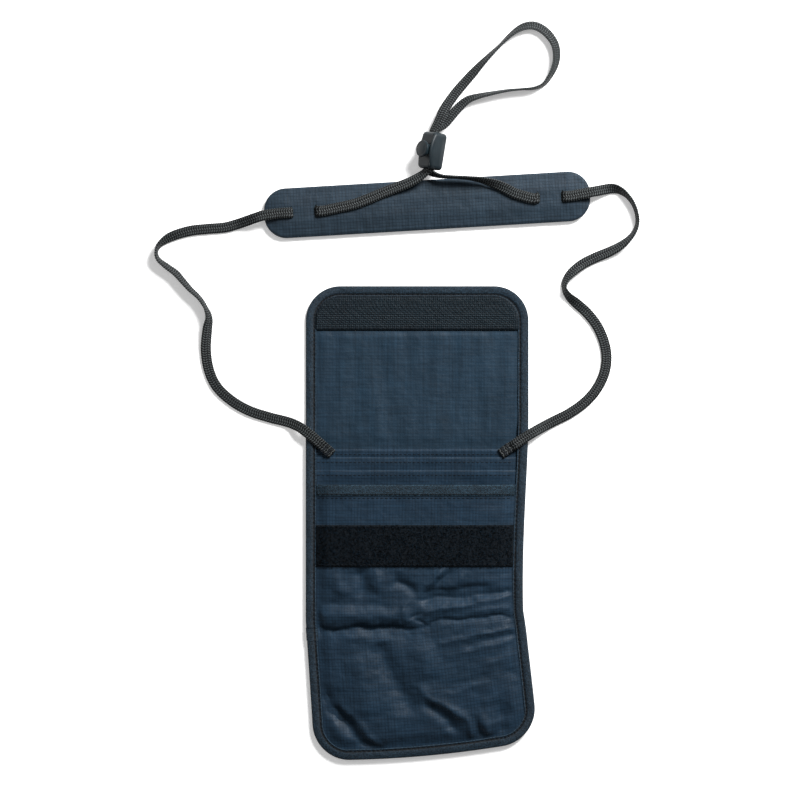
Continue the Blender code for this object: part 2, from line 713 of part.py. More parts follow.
def make_lock_button(pivot):
    """The plunger: a slotted shaft under a round button."""
    face = 0.5 * LOCK_HEIGHT
    button_bottom = face + PLUNGER_TRAVEL + BUTTON_GAP
    shaft_outline = rounded_outline(PLUNGER_WIDTH, PLUNGER_DEPTH, 0.0010, 3)
    shaft = prism("lock_button", shaft_outline, CHANNEL_BOTTOM - PLUNGER_FOOT, button_bottom + 0.0005)
    item = add_object("lock_button", shaft, LOCK_GREY, 0.5)
    item.parent = pivot
    work = bmesh.new()
    bmesh.ops.create_cone(
        work,
        cap_ends=True,
        segments=32,
        radius1=BUTTON_RADIUS,
        radius2=BUTTON_RADIUS,
        depth=BUTTON_THICKNESS,
    )
    top_edges = [edge for edge in work.edges if all(v.co.z > 0.0 for v in edge.verts)]
    bmesh.ops.bevel(work, geom=top_edges, offset=0.0006, segments=2, profile=0.5, affect="EDGES")
    bmesh.ops.translate(work, vec=(0.0, 0.0, button_bottom + 0.5 * BUTTON_THICKNESS), verts=work.verts)
    disc = bpy.data.meshes.new("button_disc")
    work.to_mesh(disc)
    work.free()
    slot_outline = [
        (-0.5 * SLOT_WIDTH, -LOCK_LENGTH),
        (0.5 * SLOT_WIDTH, -LOCK_LENGTH),
        (0.5 * SLOT_WIDTH, LOCK_LENGTH),
        (-0.5 * SLOT_WIDTH, LOCK_LENGTH),
    ]
    slot_top = CHANNEL_TOP + PLUNGER_TRAVEL
    disc_item = cutter("button_disc", disc)
    slot_item = cutter("slot_cutter", prism("slot", slot_outline, CHANNEL_BOTTOM, slot_top))
    disc_item.parent = pivot
    slot_item.parent = pivot
    boolean(item, disc_item, "UNION")
    boolean(item, slot_item, "DIFFERENCE")


def make_lock_spring(pivot):
    """The coil spring under the plunger."""
    steps = 14
    curve = bpy.data.curves.new("lock_spring", "CURVE")
    curve.dimensions = "3D"
    curve.bevel_depth = SPRING_WIRE
    curve.bevel_resolution = 1
    curve.use_fill_caps = True
    count = int(steps * SPRING_TURNS)
    spline = curve.splines.new("POLY")
    spline.points.add(count)
    low, high = SPRING_BOTTOM + SPRING_WIRE, SPRING_TOP - SPRING_WIRE
    for k, point in enumerate(spline.points):
        angle = 2.0 * math.pi * k / steps
        height = low + (high - low) * k / count
        point.co = (SPRING_RADIUS * math.cos(angle), SPRING_RADIUS * math.sin(angle), height, 1.0)
    item = add_object("lock_spring", curve, SPRING_STEEL, 0.35, 1.0)
    item.parent = pivot


def shade_round_pieces():
    for item in bpy.data.objects:
        if item.type == "MESH" and not item.hide_render:
            item.data.shade_smooth()
            item.data.set_sharp_from_angle(angle=math.radians(35.0))


def main():
    clear_scene()
    make_pouch_body()
    make_flap(pivot_at("flap_pivot", (0.0, FOLD_Y, FLAP_AXIS_Z)))
    make_neck_pad()
    make_cords()
    for side in ("left", "right"):
        make_cord_tab(side)
    lock_pivot = pivot_at("cord_lock_pivot", LOCK_CENTRE, (0.0, LOCK_TILT, LOCK_LEAN))
    make_lock_body(lock_pivot)
    make_lock_button(lock_pivot)
    make_lock_spring(lock_pivot)
    shade_round_pieces()


main()
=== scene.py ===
"""Neck pouch wallet: the finished surfaces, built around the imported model.

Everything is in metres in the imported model's own frame: the pouch lies open on its back, +X runs
across it, +Y towards the neck pad and +Z up. Cloth is laid out in the pouch's cut pattern first,
and lay() then says where a point of the pattern comes to lie.
"""

import math
import random

import bmesh
import bpy
import numpy as np
from mathutils import Euler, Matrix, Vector, noise


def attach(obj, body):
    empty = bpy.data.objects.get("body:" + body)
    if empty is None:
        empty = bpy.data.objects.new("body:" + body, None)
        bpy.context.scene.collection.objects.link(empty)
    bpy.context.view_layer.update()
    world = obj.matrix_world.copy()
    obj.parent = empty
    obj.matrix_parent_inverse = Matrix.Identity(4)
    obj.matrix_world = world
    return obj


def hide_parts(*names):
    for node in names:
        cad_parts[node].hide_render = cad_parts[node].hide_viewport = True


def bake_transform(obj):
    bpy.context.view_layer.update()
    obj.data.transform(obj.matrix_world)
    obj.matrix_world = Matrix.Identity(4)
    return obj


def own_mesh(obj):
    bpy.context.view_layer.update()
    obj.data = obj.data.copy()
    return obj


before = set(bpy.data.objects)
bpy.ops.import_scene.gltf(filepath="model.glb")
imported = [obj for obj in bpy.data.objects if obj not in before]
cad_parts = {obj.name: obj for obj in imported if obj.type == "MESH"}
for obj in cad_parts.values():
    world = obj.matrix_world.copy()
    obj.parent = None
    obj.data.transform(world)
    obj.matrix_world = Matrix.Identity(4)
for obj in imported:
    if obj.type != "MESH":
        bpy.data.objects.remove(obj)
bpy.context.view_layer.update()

# The cut pattern of the opened pouch, and how it lies
HALF_WIDTH = 0.0707
CENTRE_X = -0.0005
BOTTOM_Y = -0.1503
TOP_Y = 0.1504
CORNER_RADIUS = 0.0220
WAIST = 0.0036
WAIST_Y = -0.0400
WAIST_REACH = 0.1100
SWING_Y = -0.0620
SWING = 0.065
DRAW_UP = 0.75
DRAW_UP_FROM_X = -0.0600
CREASE_TOP_Y = -0.0400
CREASE_BOTTOM_Y = -0.0850

# Layers of the pouch, as heights of their upper faces
OUTER_TOP = 0.0007
LINING_TOP = 0.0013
CARD_TOPS = {"rear": 0.0017, "middle": 0.0021, "front": 0.0025}
CARD_MOUTHS = {"rear": 0.0470, "middle": 0.0419, "front": 0.0337}
CARD_HEM = 0.0045
POCKET_MOUTH_Y = 0.0244
HEM_BOTTOM_Y = 0.0173
LOOP_TOP_Y = -0.0010
LOOP_BOTTOM_Y = -0.0275
HOOK_BOTTOM_Y = 0.1222
HOOK_HEIGHT = 0.00075
POCKET_LOW = 0.0030
POCKET_HIGH = 0.0071
LAYER_INSET = 0.00065
INSIDE_BINDING = 0.0068
BAND_EDGE = 0.0007
OUTER_THICKNESS = 0.0003
LINING_THICKNESS = 0.00022
POCKET_THICKNESS = 0.00028

# Fasteners
LOOP_COUNT = 5200
LOOP_RADIUS = 0.00009
HOOK_PITCH = 0.0013
HOOK_RADIUS = 0.00013
HOOK_SHAPE = ((0.0, 0.0), (0.0, 0.00050), (0.00012, 0.00078), (0.00034, 0.00082), (0.00048, 0.00064))

# Binding, and the stitches of the whole pouch
BINDING_WIDTH = 0.0067
BODY_BINDING_HEIGHT = 0.0035
FLAP_BINDING_HEIGHT = 0.00195
BINDING_DROP = (0.0580, 0.0690)
TAPE = 0.00052
STITCH_INSET = 0.0054
STITCH_PITCH = 0.0029
STITCH_LENGTH = 0.0022
LAP_Y = -0.0700
LAP_REACH = 0.0045
LAP_SWELL = 0.00028
SEAM_SINK = 0.00036

# Neck pad, in its own frame: X along it, Y across it
PAD_LENGTH = 0.2070
PAD_WIDTH = 0.0316
PAD_RADIUS = 0.0140
PAD_CENTRE = (0.0058, 0.2019)
PAD_TURN = math.radians(3.4)
PAD_LOW = 0.0020
PAD_HIGH = 0.0052
PAD_DROOP = 0.0016
PAD_CLOTH_THICKNESS = 0.0003
PAD_GAP = 0.00005
SLIT_OFFSETS = (-0.0851, -0.0713, 0.0713, 0.0851)
SLIT_LEANS = (-1.0, 1.0, -1.0, 1.0)
SLIT_SLANT = 0.70
SLIT_TALL = 0.0040
SLIT_OPEN = 0.00118
SLIT_MIDDLE_Z = 0.0036
SLIT_CUT = (-0.001, 0.008)

# Neck cord: a flat tubular braid
CORD_WIDTH = 0.0067
CORD_THICKNESS = 0.0015
YARN_ROOM = 0.0003
BRAID_CORE = 0.0011
CORE_STEP = 0.0012
CORE_SIDES = 16
YARNS_EACH_WAY = 8
BRAID_LEAD = 0.0121
SAMPLES_PER_TURN = 36
YARN_SWAY = 0.6
YARN_RISE = 0.00011
YARN_SECTION = ((-1.0, -0.00016), (-0.45, 0.00009), (0.45, 0.00009), (1.0, -0.00016))
CURVE_SAMPLES = 12
ON_FLOOR = 0.0
ON_BINDING = 0.00375
ON_PAD = 0.0056
UNDER_PAD = 0.00015
TAB_BOTTOM = 0.0028
TAB_FLATTEN = 0.85
TAB_ZIGZAGS = 15
TAB_HALF_LENGTH = 0.0039
TAB_BARS = (-0.0020, 0.0012)
TAB_BAR_WIDTH = 0.0062

# Cord lock: in its own frame the cord runs along Y and the plunger along Z
LOCK_CENTRE = Vector((0.0092, 0.2356, 0.00775))
LOCK_TURN = Euler((0.0, math.radians(-48.0), math.radians(-9.3)))
LOCK_SIZE = (0.0130, 0.0235, 0.0115)
LOCK_ROUND = 0.0025
LOCK_CUTS = 44
RIDGE_RISE = 0.0030
SMALL_RIDGE_RISE = 0.0006
LOCK_CHANNEL = (0.0077, 0.0035, 0.0012)
LOCK_MOUTH = (0.0094, 0.0066)
LOCK_MOUTH_DEPTH = 0.0062
LOCK_BORE = (0.0098, 0.0068, 0.0190)
LOCK_BORE_Z = 0.0046
CUT_THROUGH = 0.06
CUT_ROUND = 0.0012
SHAFT_WIDTHS = (0.0094, 0.0064)
SHAFT_LOW = -0.00145
SHAFT_SLOT = (0.0078, CUT_THROUGH, 0.0055)
SHAFT_SLOT_Z = 0.0022
SHAFT_ROUND = 0.0010
BUTTON_BOTTOM = 0.5 * LOCK_SIZE[2] + 0.0022
BUTTON_SIDES = 64
SPRING_RADIUS = 0.0021
SPRING_WIRE = 0.00022
SPRING_TURNS = 3.0
SPRING_BOTTOM = -0.00465
SPRING_TOP = -0.00170
STRAND_HEIGHTS = {"upper": 0.00203, "lower": 0.00037}

# Colours, linear RGB
NAVY = (0.0082, 0.0205, 0.0365)
NAVY_PAD = (0.0145, 0.0250, 0.0365)
NAVY_LINING = (0.0090, 0.0215, 0.0360)
NAVY_BINDING = (0.0072, 0.0155, 0.0245)
NAVY_HEM = (0.0068, 0.0168, 0.0262)
NAVY_THREAD = (0.0020, 0.0040, 0.0070)
BLACK_PILE = (0.0009, 0.0028, 0.0050)
HOOK_TIP = (0.034, 0.056, 0.070)
DARK_HOOK = (0.0018, 0.0055, 0.0090)
# Braid yarn: dark where it dives between the others, which is painted shade, and a painted highlight on its
# crowns
YARN_GREY = (0.0030, 0.0035, 0.0040)
YARN_PAINTED_HIGHLIGHT = (0.064, 0.073, 0.075)
CORE_BLACK = (0.004, 0.004, 0.005)
FOAM_GREY = (0.012, 0.014, 0.017)
LOCK_GREY = (0.0060, 0.0108, 0.0140)
SPRING_STEEL = (0.55, 0.56, 0.58)
FLOOR_WHITE = (0.90, 0.90, 0.90)

# Ripstop's grid of thicker threads, and how dull the cloth is
RIPSTOP_GRID = 0.00205
RIPSTOP_LINE = 0.00012
RIPSTOP_ROUGHNESS = 0.54

# Bands of painted shade and painted highlight along a tape: darker where the stitches pull a groove, lighter
# along its edges. Each is a place across it, half width and shade
BINDING_PAINTED_BANDS = ((0.0053, 0.00060, 0.14), (0.0064, 0.00025, 1.9))
HEM_PAINTED_BANDS = (
    (HEM_BOTTOM_Y + 0.0011, 0.0003, 0.35),
    (HEM_BOTTOM_Y + 0.0003, 0.0003, 1.5),
    (POCKET_MOUTH_Y, 0.0004, 1.5),
)

# Camera and lights
VIEW_CENTRE = Vector((-0.0114, 0.0781, 0.0))
VIEW_WIDTH = 0.508
CAMERA_HEIGHT = 2.0
SENSOR = 36.0
LIGHTS = (
    ("key", (0.62, 0.95, 0.80), 0.5, 47.0),
    ("fill", (-1.0, 0.4, 1.3), 1.0, 3.0),
)
SKY = 0.20
FLOOR_GLOW = 0.30

# Folds of the front pocket. Each runs from one place to another, with a half width on its left and
# on its right, a rise that is negative for a valley, and a sharpness: 2 is round and 1 is a crease.
FOLDS = (
    ((-0.0630, -0.0580), (-0.0050, -0.0585), 0.0052, 0.0052, 0.0012, 2.0),
    ((-0.0640, -0.0676), (-0.0360, -0.0656), 0.0014, 0.0046, -0.0016, 1.3),
    ((-0.0360, -0.0656), (-0.0040, -0.0676), 0.0020, 0.0066, -0.0020, 1.3),
    ((-0.0040, -0.0676), (0.0100, -0.0644), 0.0022, 0.0070, -0.0010, 1.4),
    ((-0.0600, -0.0508), (-0.0180, -0.0518), 0.0026, 0.0026, -0.0006, 1.8),
    ((-0.0055, -0.0602), (0.0038, -0.0558), 0.0010, 0.0010, -0.0009, 1.3),
    ((-0.0015, -0.0606), (0.0062, -0.0640), 0.0010, 0.0010, -0.0009, 1.3),
    ((-0.0100, -0.0570), (-0.0060, -0.0500), 0.0014, 0.0014, 0.0006, 1.6),
    ((-0.0470, -0.0720), (-0.0200, -0.0735), 0.0030, 0.0030, 0.0005, 2.0),
    ((0.0050, -0.0390), (0.0165, -0.0290), 0.0021, 0.0021, 0.0010, 1.6),
    ((0.0110, -0.0400), (0.0215, -0.0300), 0.0018, 0.0018, -0.0009, 1.6),
    ((0.0200, -0.0420), (0.0290, -0.0310), 0.0026, 0.0026, 0.0007, 1.8),
    ((-0.0370, -0.0290), (-0.0350, -0.0480), 0.0045, 0.0045, -0.0012, 2.0),
    ((-0.0250, -0.0295), (-0.0265, -0.0430), 0.0036, 0.0036, 0.0012, 2.0),
    ((-0.0145, -0.0360), (-0.0020, -0.0430), 0.0034, 0.0034, -0.0014, 1.8),
    ((-0.0550, -0.0320), (-0.0480, -0.0450), 0.0040, 0.0040, 0.0009, 2.0),
    ((0.0000, -0.0480), (0.0300, -0.0470), 0.0024, 0.0024, -0.0011, 1.6),
    ((0.0300, -0.0470), (0.0610, -0.0415), 0.0022, 0.0031, -0.0010, 1.5),
    ((0.0020, -0.0560), (0.0310, -0.0518), 0.0022, 0.0022, 0.0009, 1.6),
    ((0.0310, -0.0518), (0.0620, -0.0448), 0.0019, 0.0026, 0.0006, 1.5),
    ((0.0080, -0.0625), (0.0330, -0.0602), 0.0016, 0.0016, -0.0011, 1.4),
    ((0.0330, -0.0602), (0.0630, -0.0585), 0.0016, 0.0022, -0.0010, 1.4),
    ((0.0380, -0.0560), (0.0610, -0.0530), 0.0015, 0.0020, 0.0004, 1.5),
    ((0.0130, -0.0760), (0.0350, -0.0715), 0.0017, 0.0017, 0.0006, 1.5),
    ((0.0350, -0.0715), (0.0640, -0.0655), 0.0016, 0.0022, 0.0006, 1.4),
    ((0.0250, -0.0828), (0.0640, -0.0722), 0.0019, 0.0026, 0.0005, 1.4),
    ((0.0300, -0.0770), (0.0640, -0.0690), 0.0020, 0.0029, -0.0006, 1.6),
    ((0.0420, -0.0895), (0.0650, -0.0818), 0.0022, 0.0031, 0.0004, 1.5),
    ((0.0560, -0.0930), (0.0640, -0.0960), 0.0024, 0.0034, -0.0006, 1.6),
    ((-0.0250, -0.0780), (-0.0150, -0.1000), 0.0060, 0.0060, -0.0016, 2.0),
    ((-0.0150, -0.1000), (-0.0030, -0.1190), 0.0062, 0.0062, -0.0017, 2.0),
    ((-0.0380, -0.0850), (-0.0320, -0.1200), 0.0080, 0.0080, 0.0010, 2.0),
    ((0.0020, -0.0780), (0.0060, -0.0960), 0.0070, 0.0070, 0.0012, 2.0),
    ((-0.0520, -0.1120), (-0.0250, -0.1400), 0.0024, 0.0024, 0.0008, 1.8),
    ((-0.0560, -0.1175), (-0.0300, -0.1425), 0.0044, 0.0044, -0.0012, 2.0),
    ((-0.0130, -0.1220), (-0.0230, -0.1390), 0.0030, 0.0030, 0.0007, 1.8),
    ((-0.0230, -0.1390), (-0.0205, -0.1440), 0.0014, 0.0014, 0.0005, 1.5),
    ((0.0000, -0.1040), (0.0150, -0.1140), 0.0028, 0.0028, 0.0009, 1.8),
    ((0.0150, -0.1140), (0.0310, -0.1245), 0.0028, 0.0028, 0.0011, 1.8),
    ((0.0310, -0.1245), (0.0335, -0.1370), 0.0024, 0.0024, 0.0009, 1.8),
    ((0.0060, -0.1150), (0.0265, -0.1310), 0.0040, 0.0040, -0.0014, 2.0),
    ((0.0400, -0.1220), (0.0450, -0.1350), 0.0034, 0.0034, 0.0011, 2.0),
    ((0.0370, -0.1250), (0.0400, -0.1380), 0.0017, 0.0017, -0.0006, 1.6),
    ((0.0520, -0.1180), (0.0540, -0.1330), 0.0034, 0.0034, -0.0010, 2.0),
    ((0.0140, -0.1090), (0.0460, -0.1000), 0.0018, 0.0024, 0.0004, 1.4),
    ((0.0180, -0.1040), (0.0460, -0.0955), 0.0026, 0.0037, -0.0004, 1.8),
    ((-0.0600, -0.1080), (-0.0420, -0.1300), 0.0065, 0.0040, -0.0013, 2.0),
    ((0.0040, -0.0440), (0.0450, -0.0400), 0.0022, 0.0060, -0.0012, 1.8),
    ((0.0480, -0.1130), (0.0600, -0.1240), 0.0055, 0.0055, -0.0010, 2.0),
)
FOLD_WANDER = 0.0011
FOLD_FADE = 0.0040
FOLD_SCALE = 1.55


# ---------------------------------------------------------------- shape of the pattern


def stacked(*parts):
    return np.stack(parts, axis=-1)


def unit(vectors):
    return vectors / np.maximum(np.linalg.norm(vectors, axis=-1, keepdims=True), 1e-12)


def smooth(start, end, value):
    share = np.clip((value - start) / (end - start), 0.0, 1.0)
    return share * share * (3.0 - 2.0 * share)


def hump(distance, width):
    return np.exp(-((distance / width) ** 2))


def rounded(inside, radius):
    """A quarter-round edge's height, from 0 at the edge to 1 a radius inside it."""
    return np.sqrt(np.clip(1.0 - (1.0 - np.clip(inside / radius, 0.0, 1.0)) ** 2, 0.0, 1.0))


def lay(x, y):
    """Where points of the cut pattern lie: a drawn-in waist and a swung lower half."""
    across = (x + HALF_WIDTH) / (2.0 * HALF_WIDTH)
    reach = (y - WAIST_Y) / WAIST_REACH
    waist = WAIST * np.maximum(0.0, 1.0 - reach * reach) ** 2
    swing = SWING * np.maximum(0.0, SWING_Y - y)
    drawn = DRAW_UP * np.maximum(0.0, x - DRAW_UP_FROM_X) ** 2
    lying_y = y + drawn * smooth(CREASE_TOP_Y, CREASE_BOTTOM_Y, y)
    return CENTRE_X + x - waist * across + swing, lying_y


def laid_point(x, y, surface):
    """One point of the pattern where it lies on a surface."""
    px, py = np.array([x]), np.array([y])
    lx, ly = lay(px, py)
    return lx[0], ly[0], float(surface(px, py)[0])


def half_width_at(y, inset):
    """Half the pattern's width at a height, a given distance inside its edge."""
    beyond = np.maximum(BOTTOM_Y + CORNER_RADIUS - y, y - (TOP_Y - CORNER_RADIUS))
    beyond = np.maximum(beyond, 0.0)
    radius = CORNER_RADIUS - inset
    return HALF_WIDTH - CORNER_RADIUS + np.sqrt(np.maximum(radius * radius - beyond * beyond, 0.0))


def inside_round_corners(past_x, past_y, radius):
    """Distance inside an edge with round corners, from how far past the corners' middles a point is."""
    outside = np.hypot(np.maximum(past_x, 0.0), np.maximum(past_y, 0.0))
    return radius - outside - np.minimum(np.maximum(past_x, past_y), 0.0)


def edge_distance(x, y):
    """How far inside the pouch's edge a point of the pattern is."""
    past_y = np.maximum(BOTTOM_Y + CORNER_RADIUS - y, y - (TOP_Y - CORNER_RADIUS))
    return inside_round_corners(np.abs(x) - (HALF_WIDTH - CORNER_RADIUS), past_y, CORNER_RADIUS)


def rows_between(low, high, inset, step):
    """Rows of the pattern between two heights, following a tip's round corners."""
    radius = CORNER_RADIUS - inset
    bottom, top = BOTTOM_Y + CORNER_RADIUS, TOP_Y - CORNER_RADIUS
    turns = np.linspace(0.0, 0.5 * math.pi, int(1.3 * radius / step) + 2)
    rows = []
    if low < bottom:
        rows += list(bottom - radius * np.sin(turns[::-1]))[:-1]
        low = bottom
    straight_top = min(high, top)
    rows += list(np.linspace(low, straight_top, int((straight_top - low) / step) + 2))
    if high > top:
        rows += list(top + radius * np.sin(turns))[1:]
    return np.array(rows)


def rough(points, scale, seed):
    """Smooth noise from about -1 to 1 at points of shape (..., 2 or 3)."""
    flat = points.reshape(-1, points.shape[-1]) * scale
    found = [noise.noise(Vector((p[0] + seed, p[1], p[2] if len(p) > 2 else 0.0))) for p in flat]
    return 1.6 * np.array(found).reshape(points.shape[:-1])


# ---------------------------------------------------------------- meshes


def add_item(name, data):
    item = bpy.data.objects.new(name, data)
    bpy.context.scene.collection.objects.link(item)
    return item


def make_object(name, points, faces, material, pattern=None):
    """A smooth mesh object. pattern is where each point lies in the uncut cloth or tape."""
    mesh = bpy.data.meshes.new(name)
    mesh.from_pydata(np.asarray(points, float).tolist(), [], [list(face) for face in faces])
    mesh.materials.append(material)
    mesh.shade_smooth()
    if pattern is not None:
        store_pattern(mesh, pattern)
    return add_item(name, mesh)


def store_pattern(mesh, pattern):
    attribute = mesh.attributes.new("pattern", "FLOAT_VECTOR", "POINT")
    flat = np.zeros((len(mesh.vertices), 3), np.float32)
    flat[:, : pattern.shape[-1]] = pattern.reshape(-1, pattern.shape[-1])
    attribute.data.foreach_set("vector", flat.ravel())


def settle(item, body, slot, *stands_for):
    """Say which body a piece moves with and which solids it stands for; slot, what it is made of, is not
    used.
    """
    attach(item, body)
    if stands_for:
        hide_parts(*stands_for)
    return item


def grid_quads(rows, columns, first=0, closed_rows=False, closed_columns=False):
    """Quads of a grid of points numbered row by row."""
    row = np.arange(rows if closed_rows else rows - 1)[:, None]
    column = np.arange(columns if closed_columns else columns - 1)[None, :]
    next_row, next_column = (row + 1) % rows, (column + 1) % columns
    corners = ((row, column), (row, next_column), (next_row, next_column), (next_row, column))
    quads = np.stack([at_row * columns + at_column for at_row, at_column in corners], axis=-1)
    return quads.reshape(-1, 4) + first


def tube_faces(rings, sides, first=0, flip_caps=False):
    """Faces of a tube of rings, with a cap on each end; flip_caps winds the caps the other way."""
    quads = [list(quad) for quad in grid_quads(rings, sides, first, closed_columns=True)]
    points = list(range(first, first + rings * sides))
    turn = 1 if flip_caps else -1
    return [*quads, points[:sides][::turn], points[-sides:][::-turn]]


def solid_between(name, top, bottom, pattern, material):
    """A closed layer between two grids of points, the upper and the lower."""
    rows, columns = top.shape[:2]
    count = rows * columns
    upper = grid_quads(rows, columns)
    lower = upper[:, ::-1] + count
    index = np.arange(count).reshape(rows, columns)
    rim = np.concatenate([index[0], index[1:, -1], index[-1, -2::-1], index[-2:0:-1, 0]])
    after = np.roll(rim, -1)
    side = stacked(after, rim, rim + count, after + count)
    points = np.concatenate([top.reshape(-1, 3), bottom.reshape(-1, 3)])
    flat = pattern.reshape(count, -1)
    faces = np.concatenate([upper, lower, side])
    return make_object(name, points, faces, material, np.concatenate([flat, flat]))


def pattern_grid(rows, inset, columns):
    x = np.linspace(-1.0, 1.0, columns)[None, :] * half_width_at(rows, inset)[:, None]
    return x, np.broadcast_to(rows[:, None], x.shape)


def thick_cloth(name, x, y, height, thickness, material):
    """A closed cloth or tape of even thickness whose upper face lies at a height over the pattern."""
    top = stacked(*lay(x, y), height)
    down = unit(np.cross(np.gradient(top, axis=0), np.gradient(top, axis=1)))
    return solid_between(name, top, top + thickness * down, stacked(x, y), material)


def pattern_sheet(name, low, high, inset, surface, thickness, step, material):
    """A cloth layer of the pouch. surface(x, y) gives its upper face's height."""
    x, y = pattern_grid(rows_between(low, high, inset, step), inset, int(2.0 * HALF_WIDTH / step))
    return thick_cloth(name, x, y, surface(x, y), thickness, material)


def band(name, low, high, surface, bulge, thickness, step, material):
    """A tape across the pouch with rounded edges, lying bulge above surface."""
    between = np.linspace(low + BAND_EDGE, high - BAND_EDGE, int((high - low) / step) + 2)
    rows = np.concatenate([[low, low + 0.25 * BAND_EDGE], between, [high - 0.25 * BAND_EDGE, high]])
    x, y = pattern_grid(rows, INSIDE_BINDING, int(2.0 * HALF_WIDTH / step))
    from_edge = np.minimum(y - low, high - y)
    height = surface(x, y) + bulge * (0.25 + 0.75 * rounded(from_edge, BAND_EDGE))
    return thick_cloth(name, x, y, height, thickness, material)


def threads(name, strands, radius, material, sides=6):
    """Short round threads, each along a list of points, with closed ends."""
    points, faces = [], []
    angles = np.linspace(0.0, 2.0 * math.pi, sides, endpoint=False)
    for strand in strands:
        strand = np.asarray(strand, float)
        ahead = unit(np.gradient(strand, axis=0))
        steep = abs(ahead[:, 2]).max() >= 0.95
        left = unit(np.cross([1.0, 0.3, 0.0] if steep else [0.0, 0.0, 1.0], ahead))
        up = np.cross(ahead, left)
        ring = np.cos(angles)[:, None] * left[:, None] + np.sin(angles)[:, None] * up[:, None]
        faces += tube_faces(len(strand), sides, len(points))
        points += list((strand[:, None] + radius * ring).reshape(-1, 3))
    return make_object(name, points, faces, material, np.array(points))


def stitch(start, end, rise):
    """A stitch from hole to hole, rising between them."""
    start, end = np.asarray(start, float), np.asarray(end, float)
    shares = np.array([0.0, 0.12, 0.3, 0.7, 0.88, 1.0])
    found = start + (end - start) * shares[:, None]
    found[:, 2] += np.array([-1.4, 0.2, 1.0, 1.0, 0.2, -1.4]) * rise
    return found


def stitch_row(margin, y, surface, lift=0.0, rise=0.00018, sides=HALF_WIDTH):
    """A row of stitches across the pouch at one height of the pattern, margin inside its sides."""
    reach = sides - margin
    found = []
    for k in range(int(2.0 * reach / STITCH_PITCH)):
        first = -reach + k * STITCH_PITCH
        ends = [laid_point(x, y, surface) for x in (first, first + STITCH_LENGTH)]
        found.append(stitch(*(np.array(end) + (0.0, 0.0, lift) for end in ends), rise))
    return found


# ---------------------------------------------------------------- materials


def add_node(tree, kind, inputs=None, **settings):
    made = tree.nodes.new(kind)
    for key, value in settings.items():
        setattr(made, key, value)
    for key, value in (inputs or {}).items():
        if isinstance(value, bpy.types.NodeSocket):
            tree.links.new(value, made.inputs[key])
        else:
            made.inputs[key].default_value = value
    return made


def math_node(tree, operation, first, second=0.0, third=0.0):
    inputs = {0: first, 1: second, 2: third}
    return add_node(tree, "ShaderNodeMath", inputs, operation=operation).outputs[0]


def product(tree, whole, *factors):
    for factor in factors:
        whole = math_node(tree, "MULTIPLY", whole, factor)
    return whole


def tinted(tree, mask, amount):
    """A shade of 1, plus amount times the mask."""
    return math_node(tree, "MULTIPLY_ADD", mask, amount, 1.0)


def remapped(tree, value, from_min, from_max, low, high, kind="LINEAR"):
    inputs = {"Value": value, "From Min": from_min, "From Max": from_max, "To Min": low, "To Max": high}
    return add_node(tree, "ShaderNodeMapRange", inputs, interpolation_type=kind).outputs[0]


def scaled(tree, vector, factors):
    inputs = {0: vector, 1: factors}
    return add_node(tree, "ShaderNodeVectorMath", inputs, operation="MULTIPLY").outputs[0]


def principled(name, roughness, metallic=0.0, specular=0.5, sheen=0.0):
    material = bpy.data.materials.new(name)
    material.use_nodes = True
    shader = material.node_tree.nodes["Principled BSDF"]
    shader.inputs["Roughness"].default_value = roughness
    shader.inputs["Metallic"].default_value = metallic
    shader.inputs["Specular IOR Level"].default_value = specular
    shader.inputs["Sheen Weight"].default_value = sheen
    shader.inputs["Sheen Roughness"].default_value = 0.4
    return material, material.node_tree, shader


def pattern_axes(tree):
    """The cloth's own coordinates, in metres."""
    vector = add_node(tree, "ShaderNodeAttribute", attribute_name="pattern").outputs["Vector"]
    split = add_node(tree, "ShaderNodeSeparateXYZ", {0: vector})
    return vector, split.outputs[0], split.outputs[1]


def object_place(tree):
    return add_node(tree, "ShaderNodeTexCoord").outputs["Object"]


def line_mask(tree, along, pitch, half_line):
    """1 on lines a pitch apart, 0 between them."""
    away = math_node(tree, "PINGPONG", along, 0.5 * pitch)
    return remapped(tree, away, half_line * 1.8, half_line * 0.4, 0.0, 1.0, "SMOOTHSTEP")


def wave(tree, along, pitch):
    return math_node(tree, "SINE", math_node(tree, "MULTIPLY", along, 2.0 * math.pi / pitch))


def varied(tree, vector, scale, low, high, detail=3.0, spread=0.2):
    """Noise mapped to a range."""
    texture = add_node(tree, "ShaderNodeTexNoise", {"Vector": vector, "Scale": scale, "Detail": detail})
    return remapped(tree, texture.outputs["Fac"], 0.5 - spread, 0.5 + spread, low, high)


def paint(tree, shader, colour, shade):
    """A base colour made lighter or darker by a shade that varies over the surface."""
    mix = add_node(tree, "ShaderNodeVectorMath", {0: colour, 1: (1.0, 1.0, 1.0)}, operation="MULTIPLY")
    tree.links.new(shade, mix.inputs[1])
    tree.links.new(mix.outputs[0], shader.inputs["Base Color"])


def emboss(tree, shader, *layers):
    """Bumps laid over one another, each a height, a strength and a distance."""
    normal = None
    for height, strength, distance in layers:
        inputs = {"Height": height, "Strength": strength, "Distance": distance}
        if normal:
            inputs["Normal"] = normal
        normal = add_node(tree, "ShaderNodeBump", inputs).outputs[0]
    tree.links.new(normal, shader.inputs["Normal"])


